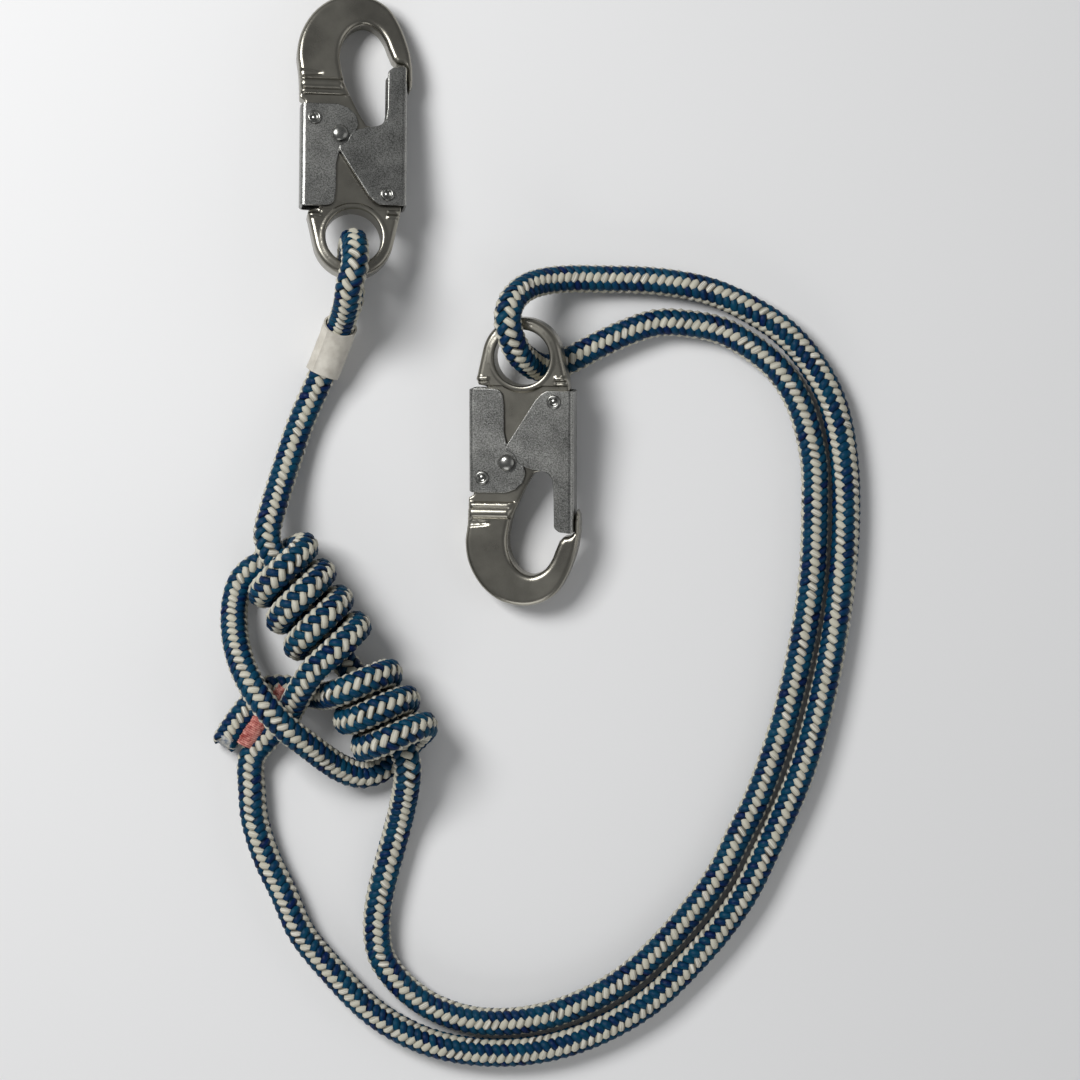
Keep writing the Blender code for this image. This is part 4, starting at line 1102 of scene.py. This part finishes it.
def hump(value: np.ndarray, centre: float, half_width: float) -> np.ndarray:
    """A round hump of height 1."""
    return np.sqrt(np.clip(1 - ((value - centre) / half_width) ** 2, 0.0, 1.0))


def humps(value: np.ndarray, waves: list[Triple]) -> np.ndarray:
    """The sum of round humps, each given by its middle, half width and height in millimetres."""
    return sum(lift * MM * hump(value, centre * MM, width * MM) for centre, width, lift in waves)


def spread(points: Outline, gap: float, closed: bool) -> np.ndarray:
    """Points at even gaps along a line that keeps its corners."""
    line = np.array(points + points[:1] if closed else points)
    out = []
    for start, end in zip(line, line[1:]):
        count = max(1, math.ceil(np.hypot(*(end - start)) / gap))
        out += [start + (end - start) * index / count for index in range(count)]
    return np.array(out if closed else [*out, line[-1]])


def nearest(places: np.ndarray, loops: list[np.ndarray]) -> tuple[np.ndarray, np.ndarray]:
    """How far each place is from the nearest loop, and whether it is inside.

    Args:
        places: the places to measure.
        loops: the outer loop and the holes' loops.

    Returns:
        The distances, and true where a place lies in the material.
    """
    far = np.full(len(places), np.inf)
    crossings = np.zeros(len(places), dtype=int)
    x, y = places[:, :1], places[:, 1:]
    for loop in loops:
        start, end = loop, np.roll(loop, -1, axis=0)
        (ax, ay), (bx, by) = start.T, end.T
        dx, dy = bx - ax, by - ay
        share = np.clip(((x - ax) * dx + (y - ay) * dy) / (dx * dx + dy * dy), 0.0, 1.0)
        far = np.minimum(far, np.hypot(x - ax - share * dx, y - ay - share * dy).min(axis=1))
        spans = (ay > y) != (by > y)
        meets = ax + (y - ay) * dx / np.where(dy == 0.0, 1.0, dy)
        crossings += (spans & (x < meets)).sum(axis=1)
    return far, crossings % 2 == 1


@dataclass
class Relief:
    """A closed plate whose two faces stand at a height of their own at every place.

    Its loops are the outer outline and the holes. Its rails are lines that the faces' points follow, where the
    height steps. Its height is given from the places along and across and their distances inside.
    """

    loops: list[Outline]
    rails: list[Outline]
    height: Callable[..., np.ndarray]
    grain: float
    depths: tuple[float, ...] = (0.05, 0.2, 0.5, 0.95, 1.5, 2.1)
    least_depth: float = 0.96
    rail_depth: float = 2.3 * MM
    grid_depth: float = 2.35 * MM
    finer: float = 0.8
    keep_off: float = 0.45
    parts: int = 24
    scale: int = 1000
    tolerance: float = 1e-6

    def rows(self, edges: list[np.ndarray]) -> list[np.ndarray]:
        """Rows of points at a few depths inside every edge."""
        rows = []
        for edge in edges:
            way = np.roll(edge, -1, axis=0) - np.roll(edge, 1, axis=0)
            normal = np.stack((-way[:, 1], way[:, 0]), axis=1) / np.hypot(way[:, 0], way[:, 1])[:, None]
            if not nearest(edge + normal * self.depths[0] * MM, edges)[1].mean() > 0.5:
                normal = -normal
            for depth in self.depths:
                places = edge + normal * depth * MM
                far, inside = nearest(places, edges)
                rows.append(places[inside & (far > self.least_depth * depth * MM)])
        return rows

    def grid(self, edges: list[np.ndarray], rail: np.ndarray) -> np.ndarray:
        """An even grid of points in what the edges' rows and the rails leave free."""
        low, high = edges[0].min(axis=0), edges[0].max(axis=0)
        rise = self.grain * math.sqrt(0.75)
        x, y = np.meshgrid(np.arange(low[0], high[0], self.grain), np.arange(low[1], high[1], rise))
        x[::2] += self.grain / 2
        grid = np.stack((x.ravel(), y.ravel()), axis=1)
        far, inside = nearest(grid, edges)
        grid = grid[inside & (far > self.grid_depth)]
        gaps = [np.hypot(*(part[:, None] - rail[None]).transpose(2, 0, 1)).min(axis=1)
                for part in np.array_split(grid, self.parts)]
        return grid[np.concatenate(gaps) > self.keep_off * self.grain]

    def triangles(self) -> tuple[np.ndarray, list[tuple[int, int, int]], np.ndarray]:
        """The flat points, the triangles between them and the points' distances inside."""
        edges = [spread(loop, self.finer * self.grain, True) for loop in self.loops]
        rail = np.concatenate([spread(each, self.finer * self.grain, False) for each in self.rails])
        far, inside = nearest(rail, edges)
        rail = rail[inside & (far > self.rail_depth)]
        places = np.concatenate([*edges, *self.rows(edges), rail, self.grid(edges, rail)])
        ties, first = [], 0
        for edge in edges:
            count = len(edge)
            ties += [(first + i, first + (i + 1) % count) for i in range(count)]
            first += count
        points = [Vector(place) for place in places * self.scale]
        verts, _, faces, *_ = delaunay_2d_cdt(points, ties, [], 0, self.tolerance)
        flat = np.array([tuple(vert) for vert in verts]) / self.scale
        middles = flat[np.array(faces)].mean(axis=1)
        kept = [face for face, inside in zip(faces, nearest(middles, edges)[1]) if inside]
        return flat, kept, nearest(flat, edges)[0]

    def mesh(self) -> Mesh:
        """The plate's mesh."""
        flat, kept, far = self.triangles()
        tall = self.height(flat[:, 0], flat[:, 1], far)
        sides = {(a, b) for face in kept for a, b in zip(face, (*face[1:], face[0]))}
        used = sorted({index for face in kept for index in face})
        work = bmesh.new()
        upper = {i: work.verts.new((*flat[i], tall[i])) for i in used}
        lower = {i: work.verts.new((*flat[i], -tall[i])) for i in used}
        for a, b, c in kept:
            work.faces.new((upper[a], upper[b], upper[c]))
            work.faces.new((lower[c], lower[b], lower[a]))
        for a, b in sides:
            if (b, a) not in sides:
                work.faces.new((upper[b], upper[a], lower[a], lower[b]))
        return finished(work, "relief")


def filleted(outline: Outline, radius: float, steps: int = FILLET_STEPS) -> Outline:
    """An outline with its corners rounded.

    Args:
        outline: the outline's corners, in metres.
        radius: the corners' radius, smaller where the sides are short.
        steps: how many spans each corner gets.

    Returns:
        The rounded outline.
    """
    out: Outline = []
    count = len(outline)
    for index in range(count):
        before, here, after = (Vector(outline[(index + i) % count]) for i in (-1, 0, 1))
        back, ahead = before - here, after - here
        turn = math.pi - back.angle(ahead)
        if turn < STRAIGHT:
            out.append(tuple(here))
            continue
        reach = min(radius * math.tan(turn / 2), SIDE_SHARE * back.length, SIDE_SHARE * ahead.length)
        start, end = here + back.normalized() * reach, here + ahead.normalized() * reach
        for step in range(steps + 1):
            share = step / steps
            point = start * (1 - share) ** 2 + here * (2 * share * (1 - share)) + end * share ** 2
            out.append(tuple(point))
    return out


@dataclass
class SnapHook:
    """One double-locking snap hook, built in its own frame: along it, to its gate side and through it."""

    place: SnapPlace
    shift: Vector
    materials: dict[Slot, Material]
    half_forging: float = 5.75 * MM
    half_web: float = 3.8 * MM
    half_neck: float = 4.75 * MM
    sheet: float = 1.2 * MM
    gap: float = 0.3 * MM
    ramp: float = 0.3 * MM
    forging_edge: float = 2.3 * MM
    edge_loss: float = 1.5 * MM
    lug_corner: float = 2.0 * MM
    back_corner: float = 1.0 * MM
    eye_hole: float = 12.3 * MM
    eye_outer: float = 17.6 * MM
    bead: float = 14.9 * MM
    bead_rails: tuple[float, ...] = (-0.45 * MM, -0.15 * MM, 0.15 * MM, 0.45 * MM)
    bead_reach: float = 1.2
    bead_fade: Pair = (0.4 * MM, 1.0 * MM)
    recess: Pair = (12.2 * MM, 63.5 * MM)
    neck_end: float = 70.5 * MM
    rail_reach: float = 29.6 * MM
    ridge_end: Pair = (-5.6 * MM, 1.2 * MM)
    vee_along: float = 72.6 * MM
    vee_ends: Pair = (-26.0 * MM, -13.4 * MM)
    vee_foot: float = -13.8 * MM
    vee_reach: float = 12.0 * MM
    vee_half: float = 0.55 * MM
    vee_opening: float = 1.2 * MM
    vee_depth: float = 0.8 * MM
    vee_onset: float = 5.0
    ears_from: Pair = (14.6 * MM, 0.5 * MM)
    slot: float = 5.2 * MM
    slot_edge: float = 0.4 * MM
    lever_rivet: Pair = (0.4826, -0.6902)
    lock_pin: Pair = (0.4185, -0.2588)
    rivet_radius: float = 2.3 * MM
    pin_radius: float = 2.0 * MM
    wing_past: float = 1.5 * MM
    wing_margin: float = 0.2 * MM
    wing_corner: float = 2.2 * MM
    wing_edge: float = 0.45 * MM
    fold: float = 2.5 * MM
    inner_fold: float = 0.6 * MM
    spring_turns: float = 2.5
    spring_radius: float = 3.1 * MM
    spring_rise: float = 3.5 * MM
    spring_wire: float = 0.5 * MM
    coil_steps: int = 28
    wire_sides: int = 10
    arc_steps: int = 60
    eye_sides: int = 90
    rivet_sides: int = 24
    drill_sides: int = 32
    wing_rounds: int = 2
    fold_rounds: int = 6
    far: float = 40.0 * MM
    grain: float = 0.6 * MM
    sharp: float = 34.0

    def scaled(self, shares: Outline) -> Outline:
        """An outline in metres."""
        return [(along * self.place.reach, across * self.place.half_width) for along, across in shares]

    def spot(self, shares: Pair) -> Pair:
        """A place in metres."""
        return self.scaled([shares])[0]

    def smooth(self, shares: Outline) -> Outline:
        """A rounded run of an outline."""
        points = [Vector((*point, 0.0)) for point in self.scaled(shares)]
        return [(point.x, point.y) for point in smooth_line(points, OUTLINE_SPAN)]

    def circle(self, radius: float, first: float, last: float, steps: int, centre: Pair = (0.0, 0.0)) -> Outline:
        """Points of an arc."""
        angles = [first + (last - first) * index / steps for index in range(steps + 1)]
        return [(centre[0] + radius * math.cos(a), centre[1] + radius * math.sin(a)) for a in angles]

    def hole(self, radius: float, sides: int, centre: Pair = (0.0, 0.0), hand: int = -1) -> Outline:
        """Points all round a hole."""
        return self.circle(radius, 0.0, hand * 2 * math.pi * (sides - 1) / sides, sides - 1, centre)

    def silhouette(self) -> Outline:
        """The forging's outline: eye, lug, mouth, nose, hook and spine."""
        lug, spine = self.scaled(LUG), self.scaled(SPINE)
        first = math.atan2(spine[-1][1], spine[-1][0]) - math.acos(self.eye_outer / math.hypot(*spine[-1]))
        last = math.atan2(lug[0][1], lug[0][0]) + math.acos(self.eye_outer / math.hypot(*lug[0]))
        eye = self.circle(self.eye_outer, first + 2 * math.pi, last, self.arc_steps)
        own = slice(FILLET_STEPS + 1, -FILLET_STEPS - 1)
        straight = filleted([eye[-1], *lug, self.scaled(MOUTH)[0]], self.lug_corner)[own]
        back = filleted([self.scaled(HOOK_BACK)[-1], *spine, eye[0]], self.back_corner)[own]
        return eye + straight + self.smooth(MOUTH) + self.scaled(NOSE) + self.smooth(HOOK_BACK) + back

    def drilled(self, mesh: Mesh, spot: Pair, radius: float) -> Mesh:
        """A mesh with a hole through it."""
        rim = self.hole(radius + self.gap, self.drill_sides, self.spot(spot), 1)
        return combined(mesh, lofted("rod", [[(x, y, z) for x, y in rim] for z in (-self.far, self.far)]))

    def forging(self) -> Mesh:
        """The forged body: a relief over its outline, with the springs' slots cut."""
        loops = [self.silhouette(), self.hole(self.eye_hole, self.eye_sides)]
        for spot in (self.place.gate_rivet, self.lever_rivet):
            loops.append(self.hole(self.rivet_radius + self.gap, self.rivet_sides, self.spot(spot)))
        turn = self.bead_reach
        rails = [self.circle(self.bead + step, -turn, turn, self.arc_steps) for step in self.bead_rails]
        rails += [[(along + step, -self.rail_reach), (along + step, self.rail_reach)]
                  for along in (*self.recess, self.neck_end) for step in (-self.ramp, 0.0, self.ramp)]
        near, close = self.vee_ends
        rails += [[(first * MM, near), (last * MM, close)] for first, last in VEE_RAILS]
        mesh = Relief(loops, rails, self.height, self.grain).mesh()
        half, slot = self.slot / 2, self.slot
        x, y = self.spot(self.place.gate_rivet)
        mesh = combined(mesh, soft_box((x - slot, y - slot, -half), (x + slot, self.far, half), self.slot_edge))
        x, y = self.spot(self.lever_rivet)
        return combined(mesh, soft_box((x - slot, -self.far, -half), (x + slot, y + slot, half), self.slot_edge))

    def height(self, along: np.ndarray, across: np.ndarray, inside: np.ndarray) -> np.ndarray:
        """The forging's half thickness at some places.

        Args:
            along: how far along the snap each place is.
            across: how far to the gate side.
            inside: how far inside the outline.

        Returns:
            The height of the face at each place.
        """
        start, end = self.recess
        out = np.hypot(along, across)
        past_end = step_up(along, end, self.ramp)
        web = step_up(along, start, self.ramp) * step_up(out, self.bead, self.ramp) * (1 - past_end)
        neck = past_end * (1 - step_up(along, self.neck_end, self.ramp))
        full = self.half_forging
        face = full - web * (full - self.half_web) - neck * (full - self.half_neck)
        past, fade = self.bead_fade
        edge = self.forging_edge - self.edge_loss * np.maximum(web, 1 - step_up(out, self.bead + past, fade))
        face += humps(out, EYE_BEAD) + humps(along, NECK_RIDGES) * (1 - step_up(across, *self.ridge_end))
        notch = np.clip((self.vee_foot - across) / self.vee_reach, 0.0, 1.0)
        wall = step_up(np.abs(along - self.vee_along), self.vee_half + self.vee_opening * notch, self.vee_half)
        face -= self.vee_depth * np.minimum(self.vee_onset * notch, 1.0) * (1 - wall)
        face += step_up(np.abs(across), *self.ears_from) * humps(along, EAR_WAVES)
        lean = np.clip(1 - inside / edge, 0.0, 1.0)
        return face - edge * (1 - np.sqrt(1 - lean ** 2))

    def channel(self, outline: Outline, inner: float, wall: float, side: int, end: float | None) -> Mesh:
        """A sheet folded round the snap's gate side or spine side.

        Args:
            outline: the wings' outline.
            inner: half of the room between the wings.
            wall: how far across the fold's outer face is.
            side: 1 for the gate side and -1 for the spine side.
            end: how far along the fold's closed end is, if it has one.

        Returns:
            The folded sheet's closed mesh.
        """
        outer = inner + self.sheet
        past = [(x, y + side * self.wing_past if side * y > side * wall - self.wing_margin else y) for x, y in outline]
        mesh = plate([filleted(past, self.wing_corner)], outer, self.wing_edge, self.wing_rounds)
        low, high = sorted((-side * self.far, wall))
        envelope = soft_box((-self.far, low, -outer), (3 * self.far, high, outer), self.fold, self.fold_rounds)
        mesh = combined(mesh, envelope, "INTERSECT")
        low, high = sorted((-side * self.far, wall - side * self.sheet))
        reach = end - self.sheet if end is not None else 3 * self.far
        return combined(mesh, soft_box((-self.far, low, -inner), (reach, high, inner), self.inner_fold))

    def gate(self) -> Mesh:
        """The gate: a folded sheet with a wing on each side."""
        outline = self.scaled(GATE)
        inner = self.half_web + 2 * self.gap + self.sheet
        mesh = self.channel(outline, inner, max(y for _, y in outline), 1, max(x for x, _ in outline))
        return self.drilled(mesh, self.place.gate_rivet, self.rivet_radius)

    def lever(self) -> Mesh:
        """The lock lever: a folded sheet round the spine."""
        outline = self.scaled(LEVER)
        mesh = self.channel(outline, self.half_web + self.gap, min(y for _, y in outline), -1, None)
        return self.drilled(self.drilled(mesh, self.lever_rivet, self.rivet_radius), self.lock_pin, self.pin_radius)

    def headed(self, head: float, profile: Outline) -> Mesh:
        """A pin with the same head at each end, from where its heads start and their half profile."""
        upper = [(radius * MM, head + height * MM) for radius, height in profile]
        return turned(upper + [(radius, -height) for radius, height in reversed(upper)])

    def spring_tree(self) -> NodeTree:
        """The tree that winds a torsion spring."""
        nodes, given = new_tree("torsion_spring", {
            "Guide": "Geometry", "Turns": self.spring_turns, "Radius": self.spring_radius, "Rise": self.spring_rise,
            "Wire": self.spring_wire, "Steel": "Material"}, "Spring")
        coil = nodes.add(
            "GeometryNodeCurveSpiral", Resolution=self.coil_steps, Rotations=given["Turns"],
            Start_Radius=given["Radius"], End_Radius=given["Radius"], Height=given["Rise"])
        wire = nodes.tube(coil, nodes.ring(self.wire_sides, given["Wire"]))
        return nodes.end(nodes.changed("RealizeInstances", nodes.changed("SetMaterial", wire, Material=given["Steel"])))

    def spring(self) -> Mesh:
        """A torsion spring in the middle of the web."""
        steel = {"Steel": self.materials[Slot.SPRING]}
        mesh = realised(bpy.data.meshes.new("spring_guide"), self.spring_tree(), steel, "spring")
        mesh.transform(Matrix.Translation((0.0, 0.0, -self.spring_rise / 2)))
        return mesh

    def build(self) -> None:
        """Make every piece of the snap and put it in its place."""
        name, gate_rivet, middle = self.place.name, self.place.gate_rivet, (0.0, 0.0)
        over_lever = self.half_web + 2 * self.gap + self.sheet
        over_gate = self.half_web + 3 * self.gap + 2 * self.sheet
        frame = Matrix.Translation(self.shift) @ self.place.matrix()
        for word, mesh, spot, slot, body in (
                ("forging", self.forging(), middle, Slot.FORGED, name),
                ("gate", self.gate(), middle, Slot.SHEET, f"{name}_gate"),
                ("lock_lever", self.lever(), middle, Slot.SHEET, f"{name}_lever"),
                ("gate_rivet", self.headed(over_gate, RIVET_HEAD), gate_rivet, Slot.RIVET, name),
                ("lever_rivet", self.headed(over_lever, RIVET_HEAD), self.lever_rivet, Slot.RIVET, name),
                ("lock_pin", self.headed(over_gate + self.gap, PIN_HEAD), self.lock_pin, Slot.RIVET, f"{name}_lever"),
                ("gate_spring", self.spring(), gate_rivet, Slot.SPRING, name),
                ("lever_spring", self.spring(), self.lever_rivet, Slot.SPRING, name)):
            mesh.transform(Matrix.Translation((*self.spot(spot), 0.0)))
            mesh.transform(frame)
            mesh = evened(dressed(mesh, self.materials[slot], self.sharp))
            shown(f"{name}_{word}_piece", mesh, body, f"{name}_{word}")


def upright_frame(line: list[Vector], index: int) -> tuple[Vector, Vector, Vector]:
    """The direction of a line at a point, the way up from it and its side."""
    last = len(line) - 1
    along = (line[min(index + 1, last)] - line[max(index - 1, 0)]).normalized()
    up = (UP - along * along.z).normalized()
    return along, up, along.cross(up)


@dataclass
class Label:
    """The blank label sleeve round the splice's end; its lapped edge makes a crease along it."""

    line: list[Vector]
    middle: Vector
    length: float = 24.7 * MM
    bore: float = 6.72 * MM
    skin: float = 7.05 * MM
    lap: float = 0.45 * MM
    lap_width: float = 0.8
    ridge: float = 0.7
    ridge_width: float = 0.06
    ripple: float = 0.05 * MM
    waves: tuple[Pair, ...] = ((9, 14), (3, 23))
    slide: float = -3.0 * MM
    crease: float = math.radians(30)
    rings: int = 27
    sides: int = 84
    sharp: float = 42.0

    def skin_at(self, angle: float, share: float) -> float:
        """The sleeve's outer radius at an angle from its top and at a share of its length."""
        turn = (angle - self.crease + math.pi) % (2 * math.pi) - math.pi
        rise = self.lap * (min(1.0, ((turn + self.lap_width) / self.lap_width) ** 2) if turn < 0 else 1.0)
        ridge = self.ridge * self.lap * math.exp(-(turn / self.ridge_width) ** 2)
        ripples = self.ripple * sum(math.sin(round_it * angle + along * share) for round_it, along in self.waves)
        return self.skin + rise + ridge + ripples

    def build(self, finish: Material) -> Object:
        """Make the sleeve."""
        total = run_lengths(self.line)
        nearest_point = min(range(len(self.line)), key=lambda i: (self.line[i] - self.middle).length)
        start = total[nearest_point] + self.slide - self.length / 2
        covered = [point for point, place in zip(self.line, total) if start <= place <= start + self.length]
        fine = evenly(covered, self.length / self.rings)
        angles = [2 * math.pi * step / self.sides for step in range(self.sides)]
        outside, inside = [], []
        for index, point in enumerate(fine):
            _, up, side = upright_frame(fine, index)
            ways = [up * math.cos(angle) + side * math.sin(angle) for angle in angles]
            share = index / len(fine)
            outside.append([point + way * self.skin_at(angle, share) for way, angle in zip(ways, angles)])
            inside.append([point + way * self.bore for way in ways])
        mesh = dressed(lofted("label", outside + inside[::-1], True), finish, self.sharp)
        return shown("label_blank", mesh, ROPE_BODY, "label_sleeve")


@dataclass
class Band:
    """The stitched band that holds the hitch's two legs together: threads laid side by side over a domed bed."""

    rope: Rope
    half_width: float = 4.6 * MM
    rise: float = 2.2 * MM
    drop: float = 1.6 * MM
    thread: float = 0.48 * MM
    pitch: float = 0.92 * MM
    uneven: Pair = (0.94, 1.06)
    seed: int = 5
    slant: float = math.radians(9)
    bends: int = 12
    sides: int = 6
    steps: int = 8
    crown: float = 0.97
    foot: float = 0.8
    depth: float = 1.5
    sharp: float = 42.0

    def thread_tree(self) -> NodeTree:
        """The tree that lays a thread across the band at each point of its line."""
        nodes, given = new_tree("band_threads", {
            "Line": "Geometry", "Half Width": self.half_width, "Rise": self.rise, "Drop": self.drop,
            "Thread": self.thread, "Seed": self.seed, "Yarn": "Material"}, "Threads")
        foot = nodes.math("MULTIPLY", given["Drop"], -1.0)
        left = nodes.joined(nodes.math("MULTIPLY", given["Half Width"], -1.0), 0.0, foot)
        middle = nodes.joined(0.0, 0.0, nodes.math("MULTIPLY_ADD", given["Rise"], 2.0, given["Drop"]))
        right = nodes.joined(given["Half Width"], 0.0, foot)
        arc = nodes.add(
            "GeometryNodeCurveQuadraticBezier", Resolution=self.bends, Start=left, Middle=middle, End=right)
        strand = nodes.tube(arc, nodes.ring(self.sides, given["Thread"]))
        points = nodes.add("GeometryNodeMeshToPoints", Mesh=given["Line"])
        axes = {"primary_axis": "Z", "secondary_axis": "X"}
        turn = nodes.add("FunctionNodeAxesToRotation", axes, n0=nodes.named("facing"), n1=nodes.named("beside"))
        low, high = self.uneven
        size = nodes.random(Min=low, Max=high, Seed=given["Seed"])
        placed = nodes.add("GeometryNodeInstanceOnPoints", Points=points, Instance=strand, Rotation=turn)
        sized = nodes.add("GeometryNodeScaleInstances", Instances=placed, Scale=nodes.joined(size, 1.0, size))
        smooth = nodes.changed("SetShadeSmooth", nodes.changed("RealizeInstances", sized))
        return nodes.end(nodes.changed("SetMaterial", smooth, Material=given["Yarn"]))

    def bed(self, line: list[Vector], frames: list[tuple[Vector, Vector, Vector]]) -> Mesh:
        """The domed bed under the threads."""
        arch = self.rise + self.drop
        shares = [index / self.steps for index in range(-self.steps, self.steps + 1)]
        rises = [arch * (self.crown - share ** 2) - self.drop for share in shares]
        sections = []
        for point, (_, up, side) in zip(line[::2], frames[::2]):
            over = [point + side * (share * self.half_width) + up * rise for share, rise in zip(shares, rises)]
            under = [point + side * (share * self.half_width * self.foot) - up * (self.drop * self.depth)
                     for share in (self.foot, 0.0, -self.foot)]
            sections.append(over + under)
        return lofted("bed", sections)

    def build(self, finish: Material) -> Object:
        """Make the band."""
        route = [point + self.rope.shift for point in self.rope.hitch_route(BAND_ROUTE)]
        line = evenly(smooth_line(route, BAND_SPAN), self.pitch)
        frames = [upright_frame(line, index) for index in range(len(line))]
        leaning = [side * math.cos(self.slant) + along * math.sin(self.slant) for along, _, side in frames]
        guide = guide_mesh("band_line", line, facing=[up for _, up, _ in frames], beside=leaning)
        work = bmesh.new()
        work.from_mesh(realised(guide, self.thread_tree(), {"Yarn": finish}, "threads"))
        work.from_mesh(self.bed(line, frames))
        mesh = dressed(finished(work, "band"), finish, self.sharp)
        return shown("band_threads", mesh, ROPE_BODY, "stitched_band")


@dataclass
class SealedEnd:
    """The tail's cut and melted end, whose face has lumps and finer crinkles; they are measured in millimetres."""

    end: Vector
    direction: Vector
    lump: float = 0.22
    lump_turns: Pair = (2.1, 1.7)
    lump_starts: Pair = (0.7, 1.9)
    crinkle: float = 0.1
    crinkle_turns: Pair = (4.3, 3.1)
    face_reach: float = -2.0
    sides: int = 48

    def swell(self, x: float, y: float) -> float:
        """How far the face stands out at a place."""
        lumps = self.lump
        for place, turn, start in zip((x, y), self.lump_turns, self.lump_starts):
            lumps *= math.sin(turn * place + start)
        return lumps + self.crinkle * math.sin(self.crinkle_turns[0] * x + self.crinkle_turns[1] * y)

    def build(self, finish: Material) -> Object:
        """Make the end."""
        mesh = turned([(radius * MM, height * MM) for radius, height in MELTED_END], self.sides)
        for vert in mesh.vertices:
            if vert.co.z > self.face_reach * MM:
                vert.co.z += self.swell(vert.co.x / MM, vert.co.y / MM) * MM
        mesh.transform(Matrix.Translation(self.end) @ self.direction.to_track_quat("Z", "Y").to_matrix().to_4x4())
        return shown("hitch_tail_end", dressed(mesh, finish), ROPE_BODY, None)


@dataclass
class Studio:
    """The floor, the lamps and the camera."""

    centre: Pair = (44.3 * MM, -105.3 * MM)
    frame_width: float = 476.4 * MM
    focus_height: float = 6.5 * MM
    distance: float = 1.5
    sensor: float = 36.0
    clip: Pair = (0.05, 50.0)
    sky: Triple = (0.90, 0.92, 0.95)
    sky_strength: float = 0.18
    floor_half: float = 30.0
    floor_height: float = -0.05 * MM
    floor_colour: Triple = (0.80, 0.80, 0.80)
    floor_roughness: float = 0.9

    def build(self, shift: Vector) -> None:
        """Set up the floor, the lamps, the world and the camera."""
        scene = bpy.context.scene
        scene.view_settings.view_transform = "Standard"
        middle = Vector((*self.centre, 0.0)) + shift
        self.camera(scene, middle)
        self.floor(middle)
        for name, (offset, size, power) in LAMPS.items():
            self.lamp(name, middle + Vector(offset), middle, size, power)
        world = bpy.data.worlds.new("studio")
        world.use_nodes = True
        background = world.node_tree.nodes["Background"]
        background.inputs["Color"].default_value = (*self.sky, 1.0)
        background.inputs["Strength"].default_value = self.sky_strength
        scene.world = world

    def camera(self, scene: bpy.types.Scene, middle: Vector) -> None:
        """Put the camera straight above, as in the photograph."""
        data = bpy.data.cameras.new("camera")
        data.sensor_width = self.sensor
        data.lens = self.sensor * self.distance / self.frame_width
        data.clip_start, data.clip_end = self.clip
        camera = linked("camera", data)
        camera.location = middle + Vector((0.0, 0.0, self.focus_height + self.distance))
        scene.camera = camera

    def lamp(self, name: str, place: Vector, aim: Vector, size: float, power: float) -> None:
        """Add a soft square lamp that is aimed at a point."""
        data = bpy.data.lights.new(name, "AREA")
        data.size = size
        data.energy = power
        lamp = linked(name, data)
        lamp.location = place
        lamp.rotation_mode = "QUATERNION"
        lamp.rotation_quaternion = (place - aim).to_track_quat("Z", "Y")

    def floor(self, middle: Vector) -> None:
        """Lay the pale floor."""
        mesh = bpy.data.meshes.new("floor")
        half = self.floor_half
        corners = [(x * half, y * half, self.floor_height) for x, y in ((-1, -1), (1, -1), (1, 1), (-1, 1))]
        mesh.from_pydata(corners, [], [(0, 1, 2, 3)])
        material, _, shader = new_material("floor")
        shader.inputs["Base Color"].default_value = (*self.floor_colour, 1.0)
        shader.inputs["Roughness"].default_value = self.floor_roughness
        mesh.materials.append(material)
        floor = linked("floor", mesh)
        floor.location = (middle.x, middle.y, 0.0)


def empty_scene() -> None:
    """Remove what a new file starts with."""
    for item in list(bpy.data.objects):
        bpy.data.objects.remove(item, do_unlink=True)


def main() -> None:
    """Build the lanyard's looks and the studio."""
    logging.basicConfig(level=logging.INFO, format="%(message)s")
    empty_scene()
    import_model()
    shift = SNAP_1.row_shift()
    LOG.info("row shift %s, second snap's %s", tuple(shift), tuple(SNAP_2.row_shift()))
    Studio().build(shift)
    rope = Rope(shift)
    stretches = rope.lay()
    low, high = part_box("label_sleeve")
    label = Label(stretches[0].points + stretches[1].points[1:], (low + high) / 2).build(LABEL_FINISH.material())
    band = Band(rope).build(THREAD_FINISH.material())
    tail = SealedEnd(stretches[-1].points[-1], stretches[-1].tangents[-1]).build(MELTED_YARN.material())
    rope.build(stretches, {"rope_lead": (label,), "hitch_winding": (band, tail)})
    finishes = {slot: finish.material() for slot, finish in HARDWARE.items()}
    for place in (SNAP_1, SNAP_2):
        SnapHook(place, shift, finishes).build()


if __name__ == "__main__":
    main()
